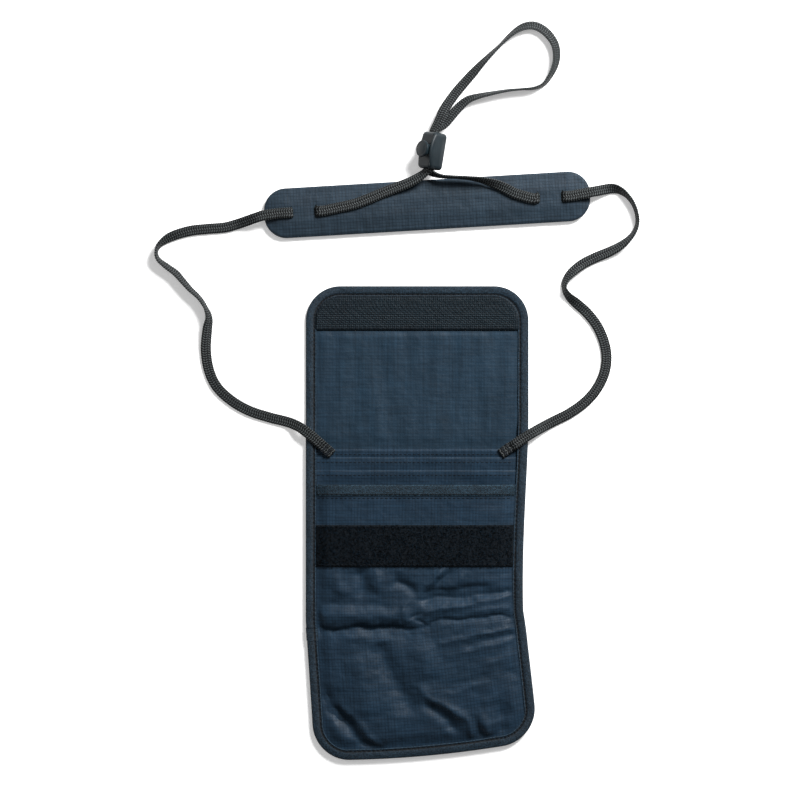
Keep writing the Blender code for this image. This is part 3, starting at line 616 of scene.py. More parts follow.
def ripstop_material(name, colour, line_shade=0.40):
    """Coated ripstop nylon: a fine plain weave with thicker threads in a grid."""
    material, tree, shader = principled(name, RIPSTOP_ROUGHNESS, specular=0.12, sheen=0.02)
    vector, x, y = pattern_axes(tree)
    wobble = varied(tree, vector, 60.0, -0.0002, 0.0002)
    both = [math_node(tree, "ADD", axis, wobble) for axis in (x, y)]
    lines = math_node(tree, "MAXIMUM", *(line_mask(tree, axis, RIPSTOP_GRID, RIPSTOP_LINE) for axis in both))
    weave = math_node(tree, "MULTIPLY", wave(tree, x, 0.00052), wave(tree, y, 0.00052))
    mottled = varied(tree, vector, 45.0, 0.86, 1.14, 5.0)
    stretches = ((1.0, 0.06, 1.0), (0.06, 1.0, 1.0))
    streaks = [varied(tree, scaled(tree, vector, way), 620.0, 0.84, 1.16, 2.0) for way in stretches]
    shade = product(tree, mottled, *streaks, tinted(tree, lines, -line_shade), tinted(tree, weave, 0.10))
    paint(tree, shader, colour, shade)
    dull = varied(tree, vector, 130.0, RIPSTOP_ROUGHNESS - 0.07, RIPSTOP_ROUGHNESS + 0.09)
    tree.links.new(dull, shader.inputs["Roughness"])
    height = math_node(tree, "MULTIPLY_ADD", weave, 0.25, math_node(tree, "MULTIPLY", lines, 0.9))
    crinkle = varied(tree, vector, 210.0, 0.0, 1.0, 4.0)
    emboss(tree, shader, (height, 0.55, 0.00008), (crinkle, 0.5, 0.00035))
    return material


def tape_material(name, colour, rib=0.0006, roughness=0.6, twill=0.0, grain=0.28, painted_bands=()):
    """Narrow woven tape: ribs across it, or a slanting twill, with bands of painted shade and painted
    highlight.
    """
    material, tree, shader = principled(name, roughness, specular=0.15, sheen=0.04)
    vector, x, y = pattern_axes(tree)
    ribs = wave(tree, math_node(tree, "MULTIPLY_ADD", y, twill, x), rib)
    cross = wave(tree, y, rib * 1.2)
    patches = varied(tree, vector, 70.0, 0.80, 1.22, 5.0)
    specks = varied(tree, vector, 1100.0, 1.0 - grain, 1.0 + grain, 2.0, spread=0.1)
    shade = product(tree, patches, specks, tinted(tree, ribs, 0.22))
    # Painted shade in the stitched grooves and painted highlight along the edges, band by band
    for place, half_band, depth in painted_bands:
        away = math_node(tree, "ABSOLUTE", math_node(tree, "SUBTRACT", y, place))
        painted_band = remapped(tree, away, 0.4 * half_band, 1.6 * half_band, depth, 1.0, "SMOOTHSTEP")
        shade = product(tree, shade, painted_band)
    paint(tree, shader, colour, shade)
    height = math_node(tree, "MULTIPLY_ADD", cross, 0.5, ribs)
    lumps = varied(tree, vector, 330.0, 0.0, 1.0, 3.0)
    emboss(tree, shader, (height, 0.6, 0.00009), (lumps, 0.45, 0.0005))
    return material


def fibre_material(
    name, colour, roughness=0.55, sheen=0.0, scale=900.0, shades=(0.6, 1.5), specular=0.15, spread=0.2
):
    """Thread, pile or yarn, with fibres of slightly different shade."""
    material, tree, shader = principled(name, roughness, specular=specular, sheen=sheen)
    vector, _, _ = pattern_axes(tree)
    paint(tree, shader, colour, varied(tree, vector, scale, *shades, 2.0, spread))
    emboss(tree, shader, (varied(tree, vector, scale * 3.0, 0.0, 1.0), 0.4, 0.0001))
    return material


def yarn_material(name, deep, highlight_colour):
    """Braid yarn with painted light: a painted highlight where it crowns over the others and painted shade
    where it dives between them.
    """
    material, tree, shader = principled(name, 0.5, specular=0.12)
    _, lifted, across = pattern_axes(tree)
    topped = remapped(tree, lifted, 0.15, 0.75, 0.0, 1.0, "SMOOTHSTEP")
    ridge = remapped(tree, math_node(tree, "ABSOLUTE", across), 0.70, 0.25, 0.0, 1.0, "SMOOTHSTEP")
    uneven = varied(tree, object_place(tree), 900.0, 0.55, 1.25)
    mix = add_node(tree, "ShaderNodeMix", data_type="RGBA")
    mix.inputs[6].default_value = (*deep, 1.0)
    mix.inputs[7].default_value = (*highlight_colour, 1.0)
    # Where the painted highlight goes: on top of the others and along the middle of the yarn
    tree.links.new(product(tree, topped, ridge, uneven), mix.inputs[0])
    tree.links.new(mix.outputs[2], shader.inputs["Base Color"])
    return material


def plastic_material(name, colour):
    """Satin moulded plastic with a fine spark-eroded texture and sharp edges made lighter."""
    material, tree, shader = principled(name, 0.38, specular=0.22)
    place = object_place(tree)
    edges = add_node(tree, "ShaderNodeNewGeometry").outputs["Pointiness"]
    # Sharp convex edges are made lighter
    lighter_edges = remapped(tree, edges, 0.52, 0.60, 1.0, 1.5)
    paint(tree, shader, colour, product(tree, varied(tree, place, 160.0, 0.85, 1.15), lighter_edges))
    tree.links.new(varied(tree, place, 300.0, 0.36, 0.50), shader.inputs["Roughness"])
    emboss(tree, shader, (varied(tree, place, 2600.0, 0.0, 1.0, 2.0), 0.25, 0.00005))
    return material


def steel_material(name):
    material, tree, shader = principled(name, 0.3, metallic=1.0)
    paint(tree, shader, SPRING_STEEL, varied(tree, object_place(tree), 1800.0, 0.8, 1.1))
    return material


def floor_material():
    material, _, shader = principled("floor", 0.9, specular=0.1)
    shader.inputs["Base Color"].default_value = (*FLOOR_WHITE, 1.0)
    shader.inputs["Emission Color"].default_value = (1.0, 1.0, 1.0, 1.0)
    shader.inputs["Emission Strength"].default_value = FLOOR_GLOW
    return material


RIPSTOP = ripstop_material("ripstop", NAVY)
PAD_CLOTH = ripstop_material("pad_ripstop", NAVY_PAD, line_shade=0.5)
LINING = ripstop_material("lining", NAVY_LINING, line_shade=0.18)
BINDING = tape_material("binding", NAVY_BINDING, grain=0.5, painted_bands=BINDING_PAINTED_BANDS)
HEM_TAPE = tape_material("hem_tape", NAVY_HEM, 0.0011, 0.68, twill=1.0, grain=0.6, painted_bands=HEM_PAINTED_BANDS)
HOOK_TAPE = tape_material("hook_tape", DARK_HOOK, 0.0013)
PILE_TAPE = tape_material("pile_tape", BLACK_PILE, 0.0009, 0.9)
PILE = fibre_material("pile", BLACK_PILE, 0.75, 0.01, 650.0, (0.1, 3.2), specular=0.06, spread=0.07)
HOOKS = fibre_material("hooks", HOOK_TIP, 0.4)
THREAD = fibre_material("thread", NAVY_THREAD, sheen=0.05)
YARN = yarn_material("yarn", YARN_GREY, YARN_PAINTED_HIGHLIGHT)
CORE = fibre_material("core", CORE_BLACK, 0.9)
FOAM = fibre_material("foam", FOAM_GREY, 0.85, sheen=0.05, scale=2500.0)
PLASTIC = plastic_material("lock_plastic", LOCK_GREY)
STEEL = steel_material("spring_steel")


# ---------------------------------------------------------------- camera, floor and light


def make_stage():
    camera = bpy.data.cameras.new("camera")
    camera.sensor_width = SENSOR
    camera.lens = SENSOR * CAMERA_HEIGHT / VIEW_WIDTH
    holder = add_item("camera", camera)
    holder.location = VIEW_CENTRE + Vector((0.0, 0.0, CAMERA_HEIGHT))
    bpy.context.scene.camera = holder

    bpy.ops.mesh.primitive_plane_add(size=12.0, location=(0.0, 0.0, -0.0003))
    floor = bpy.context.object
    floor.name = "floor"
    floor.data.materials.append(floor_material())

    for name, place, size, power in LIGHTS:
        light = bpy.data.lights.new(name, "AREA")
        light.size = size
        light.energy = power
        item = add_item(name, light)
        item.location = place
        item.rotation_euler = (VIEW_CENTRE - item.location).to_track_quat("-Z", "Y").to_euler()

    world = bpy.data.worlds.new("studio")
    world.use_nodes = True
    background = world.node_tree.nodes["Background"]
    background.inputs["Color"].default_value = (1.0, 1.0, 1.0, 1.0)
    background.inputs["Strength"].default_value = SKY
    bpy.context.scene.world = world
    bpy.context.scene.view_settings.view_transform = "Standard"


# ---------------------------------------------------------------- neck cord


def lying(x, y, resting_on, roll=0.0):
    """A route point where the braid rests on something at the height resting_on."""
    turned = abs(math.sin(math.radians(roll)))
    half = 0.5 * CORD_THICKNESS + 0.5 * (CORD_WIDTH - CORD_THICKNESS) * turned
    return (x, y, resting_on + half), roll


def over(resting_on, *places):
    """Route points at one height, each an x and a y, and a roll in degrees where it isn't 0."""
    return [lying(x, y, resting_on, *roll) for x, y, *roll in places]


def on_pad(along, resting_on, roll=0.0):
    """A route point on the pad's own centreline."""
    x = PAD_CENTRE[0] + along * math.cos(PAD_TURN)
    y = PAD_CENTRE[1] + along * math.sin(PAD_TURN)
    return lying(x, y, resting_on, roll)


def through_slit(offset, downwards, roll=0.0):
    """The steep stretch where the braid passes a slit, towards +X."""
    heights = (ON_PAD, 0.5 * (ON_PAD + UNDER_PAD), UNDER_PAD)
    stations = (-0.0019, 0.0, 0.0019)
    ordered = heights if downwards else reversed(heights)
    return [on_pad(offset + station, height, roll) for station, height in zip(stations, ordered)]


def in_lock(along, strand, roll):
    """A route point inside or close to the cord lock, on one of its two strands."""
    local = Vector((0.0, along, STRAND_HEIGHTS[strand]))
    return tuple(LOCK_CENTRE + LOCK_TURN.to_matrix() @ local), roll


def left_cord_route():
    return [
        lying(-0.0606, 0.0492, TAB_BOTTOM),
        *over(ON_BINDING, (-0.0625, 0.0509), (-0.0668, 0.0547), (-0.0738, 0.0601)),
        lying(-0.0780, 0.0624, 0.0018),
        lying(-0.0825, 0.0641, 0.0004),
        *over(
            ON_FLOOR, (-0.0880, 0.0655), (-0.0940, 0.0670), (-0.1067, 0.0711), (-0.1181, 0.0775),
            (-0.1276, 0.0864), (-0.1327, 0.0972), (-0.1346, 0.1099, 5.0), (-0.1337, 0.1226, 25.0),
            (-0.1326, 0.1302, 55.0), (-0.1346, 0.1366, 75.0), (-0.1388, 0.1430, 72.0),
            (-0.1445, 0.1484, 65.0), (-0.1492, 0.1537, 60.0), (-0.1536, 0.1586, 55.0),
            (-0.1595, 0.1630, 60.0), (-0.1645, 0.1672, 72.0), (-0.1659, 0.1722, 84.0),
            (-0.1632, 0.1773, 64.0), (-0.1562, 0.1819, 26.0), (-0.1448, 0.1854, 6.0), (-0.1334, 0.1867),
            (-0.1226, 0.1876),
        ),
        lying(-0.1150, 0.1896, 0.0004),
        lying(-0.1085, 0.1916, 0.0030),
        lying(-0.1030, 0.1934, 0.0052),
        lying(-0.0975, 0.1950, ON_PAD),
        on_pad(-0.0940, ON_PAD),
        *through_slit(SLIT_OFFSETS[0], True),
        on_pad(-0.0785, UNDER_PAD),
    ]


def middle_cord_route():
    half_turned = -180.0
    return [
        on_pad(-0.0779, UNDER_PAD),
        *through_slit(SLIT_OFFSETS[1], False),
        on_pad(-0.0650, ON_PAD),
        *over(
            ON_PAD, (-0.0500, 0.2000), (-0.0402, 0.2022), (-0.0310, 0.2056), (-0.0222, 0.2093),
            (-0.0140, 0.2125, -4.0),
        ),
        lying(-0.0068, 0.2152, 0.0059, -12.0),
        lying(-0.0008, 0.2182, 0.0062, -24.0),
        lying(0.0034, 0.2210, 0.0062, -38.0),
        in_lock(-0.0128, "upper", -48.0),
        in_lock(-0.0105, "upper", -48.0),
        in_lock(0.0105, "upper", -48.0),
        in_lock(0.0128, "upper", -48.0),
        lying(0.0128, 0.2534, 0.0064, -26.0),
        lying(0.0160, 0.2608, 0.0048, -14.0),
        lying(0.0205, 0.2680, 0.0026, -14.0),
        lying(0.0254, 0.2746, 0.0010, -18.0),
        lying(0.0340, 0.2845, 0.0002, -30.0),
        *over(
            ON_FLOOR, (0.0425, 0.2937, -58.0), (0.0521, 0.3032, -78.0), (0.0600, 0.3107, -64.0),
            (0.0673, 0.3150, -42.0), (0.0745, 0.3154, -30.0), (0.0815, 0.3113, -30.0),
            (0.0866, 0.3043, -38.0), (0.0880, 0.2965, -46.0), (0.0867, 0.2896, -56.0),
            (0.0834, 0.2830, -68.0), (0.0793, 0.2780, -78.0), (0.0732, 0.2757, -86.0),
            (0.0660, 0.2752, -94.0), (0.0570, 0.2744, -102.0), (0.0475, 0.2727, -110.0),
            (0.0385, 0.2708, -122.0), (0.0318, 0.2686, -138.0),
        ),
        lying(0.0268, 0.2646, 0.0006, -152.0),
        lying(0.0220, 0.2592, 0.0022, -158.0),
        lying(0.0172, 0.2532, 0.0038, -150.0),
        in_lock(0.0128, "lower", -132.0),
        in_lock(0.0105, "lower", -132.0),
        in_lock(-0.0105, "lower", -132.0),
        in_lock(-0.0128, "lower", -132.0),
        lying(0.0104, 0.2209, 0.0048, -114.0),
        lying(0.0160, 0.2194, 0.0057, -100.0),
        lying(0.0240, 0.2190, 0.0058, -96.0),
        *over(
            ON_PAD, (0.0330, 0.2183, -102.0), (0.0410, 0.2170, -120.0), (0.0490, 0.2146, -150.0),
            (0.0560, 0.2117, -172.0), (0.0620, 0.2087, half_turned),
        ),
        on_pad(0.0665, ON_PAD, half_turned),
        *through_slit(SLIT_OFFSETS[2], True, half_turned),
        on_pad(0.0779, UNDER_PAD, half_turned),
    ]


def right_cord_route():
    return [
        on_pad(0.0785, UNDER_PAD),
        *through_slit(SLIT_OFFSETS[3], False),
        on_pad(0.0915, ON_PAD),
        lying(0.1040, 0.2086, ON_PAD),
        lying(0.1100, 0.2098, 0.0054),
        lying(0.1145, 0.2107, 0.0034),
        lying(0.1188, 0.2117, 0.0010, 6.0),
        *over(
            ON_FLOOR, (0.1232, 0.2123, 20.0), (0.1276, 0.2113, 48.0), (0.1325, 0.2078, 70.0),
            (0.1364, 0.2026, 78.0), (0.1387, 0.1962, 80.0), (0.1391, 0.1902, 78.0), (0.1371, 0.1846, 72.0),
            (0.1330, 0.1796, 58.0), (0.1276, 0.1754, 34.0), (0.1207, 0.1718, 12.0), (0.1130, 0.1686),
            (0.1048, 0.1645, 4.0), (0.0979, 0.1592, 26.0), (0.0936, 0.1537, 58.0), (0.0928, 0.1489, 72.0),
            (0.0955, 0.1440, 50.0), (0.1005, 0.1395, 18.0), (0.1073, 0.1334), (0.1137, 0.1251),
            (0.1181, 0.1149), (0.1197, 0.1048), (0.1181, 0.0946), (0.1130, 0.0845), (0.1054, 0.0762),
            (0.0959, 0.0695), (0.0870, 0.0650),
        ),
        lying(0.0812, 0.0620, 0.0005),
        lying(0.0768, 0.0597, 0.0020),
        *over(ON_BINDING, (0.0726, 0.0573), (0.0665, 0.0535), (0.0614, 0.0500)),
        lying(0.0593, 0.0486, TAB_BOTTOM),
    ]


def catmull_rom(before, start, end, after, share):
    square, cube = share * share, share * share * share
    return 0.5 * (
        2.0 * start
        + (end - before) * share
        + (2.0 * before - 5.0 * start + 4.0 * end - after) * square
        + (3.0 * start - before - 3.0 * end + after) * cube
    )


def run_along(places):
    """How far along a line of points each one is."""
    return np.concatenate([[0.0], np.cumsum(np.linalg.norm(np.diff(places, axis=0), axis=1))])


def even_route(route, step):
    """Points and rolls an even step apart on the smooth curve through a route."""
    ends = [np.array(place) for place, _ in route]
    rolls = [roll for _, roll in route]
    padded = [2.0 * ends[0] - ends[1], *ends, 2.0 * ends[-1] - ends[-2]]
    places, turns = [], []
    for k in range(len(ends) - 1):
        for share in np.linspace(0.0, 1.0, CURVE_SAMPLES, endpoint=False):
            places.append(catmull_rom(*padded[k : k + 4], share))
            turns.append(rolls[k] + (rolls[k + 1] - rolls[k]) * share)
    places = np.array([*places, ends[-1]])
    gone = run_along(places)
    stations = np.linspace(0.0, gone[-1], max(2, round(gone[-1] / step)) + 1)
    even = stacked(*(np.interp(stations, gone, places[:, k]) for k in range(3)))
    return even, np.interp(stations, gone, [*turns, rolls[-1]]), stations


def braid_frames(places, rolls):
    """The braid's sideways and upward directions along its route."""
    ahead = unit(np.gradient(places, axis=0))
    level = unit(np.cross([0.0, 0.0, 1.0], ahead))
    raised = np.cross(ahead, level)
    turn = np.radians(rolls)[:, None]
    return np.cos(turn) * level + np.sin(turn) * raised, np.cos(turn) * raised - np.sin(turn) * level


def round_the_braid(share, width, thickness):
    """A point of the flattened tube's section and its outward direction; share runs once round."""
    flat = width - thickness
    radius = 0.5 * thickness
    turn = math.pi * radius
    run = np.mod(share, 1.0) * 2.0 * (flat + turn)
    on_right = run < turn
    on_top = (run >= turn) & (run < turn + flat)
    on_left = (run >= turn + flat) & (run < 2.0 * turn + flat)
    angle = np.where(on_right, run / radius - 0.5 * math.pi, (run - turn - flat) / radius + 0.5 * math.pi)
    on_end = on_right | on_left
    out_x = np.where(on_end, np.cos(angle), 0.0)
    out_y = np.where(on_end, np.sin(angle), np.where(on_top, 1.0, -1.0))
    along_bottom = np.where(on_left, 0.0, run - 2.0 * turn - flat)
    centre_x = np.where(on_top, 0.5 * flat - (run - turn), along_bottom - 0.5 * flat)
    return np.where(on_right, 0.5 * flat, centre_x) + radius * out_x, radius * out_y, out_x, out_y


def braid(name, route, flatten=1.0):
    """A tubular braid pressed flat: yarns that cross over and under round a dark core."""
    places, rolls, stations = even_route(route, BRAID_LEAD / SAMPLES_PER_TURN)
    left, up = braid_frames(places, rolls)
    thickness = (CORD_THICKNESS - YARN_ROOM) * flatten
    width = CORD_WIDTH - YARN_ROOM
    around = 2.0 * (width - thickness) + math.pi * thickness
    yarn_half = 0.46 * around / YARNS_EACH_WAY * BRAID_LEAD / math.hypot(around, BRAID_LEAD)
    asides, crowns = np.array(YARN_SECTION).T
    crossings = YARNS_EACH_WAY * math.pi
    points, faces, marks = [], [], []
    for direction in (1.0, -1.0):
        for yarn in range(YARNS_EACH_WAY):
            steady = yarn / YARNS_EACH_WAY + direction * stations / BRAID_LEAD
            share = steady - direction * YARN_SWAY * np.cos(crossings * steady) / crossings
            side_x, side_y, out_x, out_y = round_the_braid(share, width, thickness)
            rise = direction * np.sin(crossings * share)
            lifted = YARN_RISE * np.tanh(2.0 * rise)
            centre = places + left * side_x[:, None] + up * side_y[:, None]
            outward = left * out_x[:, None] + up * out_y[:, None]
            across = unit(np.cross(outward, unit(np.gradient(centre, axis=0))))
            section = (lifted[:, None] + crowns)[:, :, None]
            aside = (asides * yarn_half)[:, None]
            ribbon = centre[:, None] + across[:, None] * aside + outward[:, None] * section
            faces.append(grid_quads(len(places), len(asides), sum(map(len, points))))
            points.append(ribbon.reshape(-1, 3))
            marks.append(stacked(*np.broadcast_arrays(rise[:, None], asides)).reshape(-1, 2))
    item = make_object(name, np.concatenate(points), np.concatenate(faces), YARN, np.concatenate(marks))
    return item, places, stations[-1]


def braid_core(name, route, flatten=1.0):
    """The closed dark tube that the yarns lie round."""
    places, rolls, _ = even_route(route, CORE_STEP)
    left, up = braid_frames(places, rolls)
    shares = np.linspace(0.0, 1.0, CORE_SIDES, endpoint=False)
    side_x, side_y, _, _ = round_the_braid(shares, CORD_WIDTH - 0.0007, (BRAID_CORE - 0.0001) * flatten)
    rings = places[:, None] + left[:, None] * side_x[:, None] + up[:, None] * side_y[:, None]
    points = rings.reshape(-1, 3)
    faces = tube_faces(len(places), CORE_SIDES, flip_caps=True)
    return make_object(name, points, faces, CORE, points[:, :2])


def join(first, others):
    """Join meshes into the first one, keeping their materials."""
    bpy.ops.object.select_all(action="DESELECT")
    for item in (*others, first):
        item.select_set(True)
    bpy.context.view_layer.objects.active = first
    bpy.ops.object.join()
    return first


def make_cord(name, solid, route):
    """A stretch of the cord: the braid and its core, standing for one solid."""
    cord, places, length = braid(name, route)
    join(cord, [braid_core(f"{name}_core", route)])
    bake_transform(cord)
    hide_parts(solid)
    return cord, places, length


def make_cords(lock_pieces):
    left, left_places, left_length = make_cord(
        "neck_cord_left", "cord_left", left_cord_route()
    )
    middle, middle_places, middle_length = make_cord(
        "neck_cord_middle", "cord_middle", middle_cord_route()
    )
    right, right_places, right_length = make_cord(
        "neck_cord_right", "cord_right", right_cord_route()
    )


def make_tab(side, centre, angle):
    """A sewn-down end of the cord, with two bars of close zigzag stitches over it."""
    ahead = np.array([math.cos(angle), math.sin(angle), 0.0])
    sideways = np.array([-ahead[1], ahead[0], 0.0])
    middle = np.array([*centre, TAB_BOTTOM + 0.00068])
    route = [(tuple(middle + ahead * share * TAB_HALF_LENGTH), 0.0) for share in (-1.0, -0.4, 0.3, 1.0)]
    tab, _, _ = braid(f"cord_end_{side}", route, TAB_FLATTEN)
    join(tab, [braid_core(f"cord_end_{side}_core", route, TAB_FLATTEN)])
    settle(tab, "pouch", "cord", f"cord_tab_{side}")
    strands = []
    top = middle + np.array([0.0, 0.0, 0.00058])
    for bar in TAB_BARS:
        for k in range(TAB_ZIGZAGS):
            across = (k / (TAB_ZIGZAGS - 1.0) - 0.5) * TAB_BAR_WIDTH
            start = top + ahead * bar + sideways * across
            strands.append(stitch(start, start + ahead * 0.0016 + sideways * 0.0003, 0.00016))
    settle(threads(f"cord_end_{side}_bartacks", strands, 0.00017, THREAD), "pouch", "cord")


# ---------------------------------------------------------------- cord lock


def to_lock_frame(item):
    """Place a piece built in the lock's own frame, with its place in its mesh."""
    item.data.transform(LOCK_TURN.to_matrix().to_4x4())
    for vertex in item.data.vertices:
        vertex.co += LOCK_CENTRE
    return item


def mesh_from(name, work):
    mesh = bpy.data.meshes.new(name)
    work.to_mesh(mesh)
    work.free()
    return mesh


def box_cutter(name, size, centre, bevel=0.0):
    work = bmesh.new()
    bmesh.ops.create_cube(work, size=1.0)
    bmesh.ops.scale(work, vec=size, verts=work.verts)
    if bevel:
        edges = [edge for edge in work.edges if abs(edge.verts[0].co.z - edge.verts[1].co.z) > 1e-6]
        bmesh.ops.bevel(work, geom=edges, offset=bevel, segments=4, profile=0.5, affect="EDGES")
    bmesh.ops.translate(work, vec=centre, verts=work.verts)
    return add_item(name, mesh_from(name, work))


def mouth_cutter(end):
    """A funnel where the braids leave the lock; end is +1 or -1 along the lock."""
    funnel = box_cutter("mouth", (1.0, 1.0, 1.0), (0.0, 0.0, 0.0))
    outer = end * (0.5 * LOCK_SIZE[1] + 0.0010)
    inner = end * (0.5 * LOCK_SIZE[1] - LOCK_MOUTH_DEPTH)
    for vertex in funnel.data.vertices:
        at_end = vertex.co.y * end > 0.0
        wide = LOCK_MOUTH if at_end else LOCK_CHANNEL
        x, z = vertex.co.x * wide[0], LOCK_CHANNEL[2] + vertex.co.z * wide[1]
        vertex.co = (x, outer if at_end else inner, z)
    return funnel


def cut(item, cutters):
    """Cut holes in an object and remove the cutters."""
    for cutter in cutters:
        modifier = item.modifiers.new("cut", "BOOLEAN")
        modifier.operation = "DIFFERENCE"
        modifier.solver = "EXACT"
        modifier.object = cutter
    bpy.context.view_layer.update()
    graph = bpy.context.evaluated_depsgraph_get()
    done = bpy.data.meshes.new_from_object(item.evaluated_get(graph))
    item.modifiers.clear()
    item.data = done
    for cutter in cutters:
        bpy.data.objects.remove(cutter)


def smooth_off(item, sharp_from):
    item.data.shade_smooth()
    item.data.set_sharp_from_angle(angle=math.radians(sharp_from))


def make_lock_body():
    """A rounded block whose side walls swell up into a curved ridge beside the button."""
    half = 0.5 * np.array(LOCK_SIZE)
    work = bmesh.new()
    bmesh.ops.create_cube(work, size=2.0)
    bmesh.ops.subdivide_edges(work, edges=work.edges, cuts=LOCK_CUTS, use_grid_fill=True)
    mesh = mesh_from("lock_shell", work)
    points = np.array([vertex.co for vertex in mesh.vertices], float)
    full = half * np.sin(points * 0.42 * math.pi) / math.sin(0.42 * math.pi)
    core = np.clip(full, -(half - LOCK_ROUND), half - LOCK_ROUND)
    placed = core + LOCK_ROUND * unit(full - core)
    x, y, z = placed.T
    bow = np.clip(1.0 - (y / (half[1] - 0.0012)) ** 2, 0.0, 1.0)
    ridge = smooth(0.0049, 0.0058, np.abs(x)) * smooth(0.0010, 0.0045, z)
    placed[:, 2] += np.where(x > 0.0, RIDGE_RISE, SMALL_RIDGE_RISE) * bow * ridge
    cheek = smooth(0.0050, 0.0064, np.abs(x))
    placed[:, 0] += np.sign(x) * 0.0006 * bow * cheek * smooth(-0.0055, 0.0, z)
    scoop = smooth(0.0052, 0.0040, np.abs(x)) * smooth(0.0045, 0.0055, z)
    placed[:, 2] -= 0.00035 * scoop * bow
    placed[:, :2] *= 1.0 - 0.012 * hump(z + 0.0035, 0.00012)[:, None]
    mesh.vertices.foreach_set("co", placed.ravel())
    mesh.materials.append(PLASTIC)
    item = add_item("lock_shell", mesh)
    channel_width, channel_height, channel_z = LOCK_CHANNEL
    channel = box_cutter("channel", (channel_width, CUT_THROUGH, channel_height), (0.0, 0.0, channel_z))
    bore = box_cutter("bore", LOCK_BORE, (0.0, 0.0, LOCK_BORE_Z), CUT_ROUND)
    cut(item, [channel, bore, mouth_cutter(1.0), mouth_cutter(-1.0)])
    smooth_off(item, 40.0)
    return settle(to_lock_frame(item), "cord_lock", "lock_plastic", "lock_body")


def make_lock_button():
    """A domed round button on a slotted shaft."""
    profile = (
        *((0.0, 0.0), (0.0030, 0.0), (0.0047, 0.0), (0.0051, 0.00012), (0.00525, 0.00045)),
        *((0.00525, 0.0013), (0.00515, 0.0016), (0.00485, 0.00182), (0.00440, 0.00192)),
        *((0.00415, 0.00186), (0.0038, 0.00190), (0.0027, 0.00206), (0.0014, 0.00216), (0.0, 0.00219)),
    )
    work = bmesh.new()
    rings = []
    for out, rise in profile:
        count = BUTTON_SIDES if out else 1
        turns = (2.0 * math.pi * k / BUTTON_SIDES for k in range(count))
        height = BUTTON_BOTTOM + rise
        rings.append([work.verts.new((out * math.cos(a), out * math.sin(a), height)) for a in turns])
    for low, high in zip(rings, rings[1:]):
        for k in range(BUTTON_SIDES):
            after = (k + 1) % BUTTON_SIDES
            if len(low) == 1:
                work.faces.new((low[0], high[after], high[k]))
            elif len(high) == 1:
                work.faces.new((low[k], low[after], high[0]))
            else:
                work.faces.new((low[k], low[after], high[after], high[k]))
    item = add_item("lock_plunger_button", mesh_from("lock_plunger_button", work))
    shaft_top = BUTTON_BOTTOM + 0.0004
    shaft_size = (*SHAFT_WIDTHS, shaft_top - SHAFT_LOW)
    shaft = box_cutter("shaft", shaft_size, (0.0, 0.0, 0.5 * (shaft_top + SHAFT_LOW)), SHAFT_ROUND)
    cut(shaft, [box_cutter("slot", SHAFT_SLOT, (0.0, 0.0, SHAFT_SLOT_Z))])
    for piece in (item, shaft):
        piece.data.materials.append(PLASTIC)
    join(item, [shaft])
    smooth_off(item, 32.0)
    return settle(to_lock_frame(item), "lock_plunger", "lock_plastic", "lock_button")


def make_lock_spring():
    """The coil spring under the plunger."""
    turns = np.linspace(0.0, 2.0 * math.pi * SPRING_TURNS, int(28 * SPRING_TURNS))
    height = np.linspace(SPRING_BOTTOM + SPRING_WIRE, SPRING_TOP - SPRING_WIRE, len(turns))
    coil = stacked(SPRING_RADIUS * np.cos(turns), SPRING_RADIUS * np.sin(turns), height)
    spring = to_lock_frame(threads("lock_coil_spring", [coil], SPRING_WIRE, STEEL, sides=8))
    settle(spring, "cord_lock", "spring_steel", "lock_spring")
    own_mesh(spring)
    return spring


# ---------------------------------------------------------------- pouch


def outer_surface(x, y):
    """Upper face of the outer panel, which is the pouch's underside when it lies open."""
    return 0.0003 + (OUTER_TOP - 0.0003) * smooth(0.0090, 0.0060, edge_distance(x, y))


def lining_surface(x, y):
    """The lining lies flat on the outer panel and ripples a little where nothing covers it."""
    ripples = rough(stacked(x * 1.7, y * 0.30), 62.0, 3.1)
    fine = rough(stacked(x, y), 260.0, 8.4)
    free = smooth(0.0070, 0.0120, edge_distance(x, y)) * smooth(0.0480, 0.0560, y)
    amplitude = free * (1.0 - smooth(HOOK_BOTTOM_Y - 0.004, HOOK_BOTTOM_Y, y))
    return LINING_TOP - 0.00015 + amplitude * (0.00060 + 0.00060 * ripples + 0.00003 * fine)


def card_surface(which):
    """Upper face of a card pocket: flat, with its mouth standing a little off the cloth behind."""
    mouth = CARD_MOUTHS[which]

    def surface(x, y):
        free = smooth(0.0070, 0.0200, np.abs(HALF_WIDTH - np.abs(x)))
        bowed = smooth(mouth - 0.0130, mouth, y)
        slack = rough(stacked(x, y * 2.0), 55.0, mouth * 300.0)
        doubled = smooth(mouth - CARD_HEM - 0.0004, mouth - CARD_HEM + 0.0004, y) * 0.00018
        return CARD_TOPS[which] + free * (bowed * (0.00075 + 0.00035 * slack) + doubled)

    return surface


def folds_at(x, y):
    """Height that the folds add at points where the cloth lies."""
    places = stacked(x, y)
    x = x + FOLD_WANDER * (rough(places, 85.0, 1.7) + 0.4 * rough(places, 260.0, 5.2))
    y = y + FOLD_WANDER * (rough(places, 85.0, 9.3) + 0.4 * rough(places, 260.0, 2.8))
    height = np.zeros_like(x)
    for (ax, ay), (bx, by), left_half, right_half, rise, sharpness in FOLDS:
        run_x, run_y = bx - ax, by - ay
        length = math.hypot(run_x, run_y)
        along = ((x - ax) * run_x + (y - ay) * run_y) / length
        aside = (run_x * (y - ay) - run_y * (x - ax)) / length
        half_width = np.where(aside > 0.0, left_half, right_half)
        fade = min(FOLD_FADE, 0.5 * length)
        present = smooth(-fade, fade, along) * smooth(-fade, fade, length - along)
        height += rise * present * np.exp(-((np.abs(aside) / half_width) ** sharpness))
    return FOLD_SCALE * height


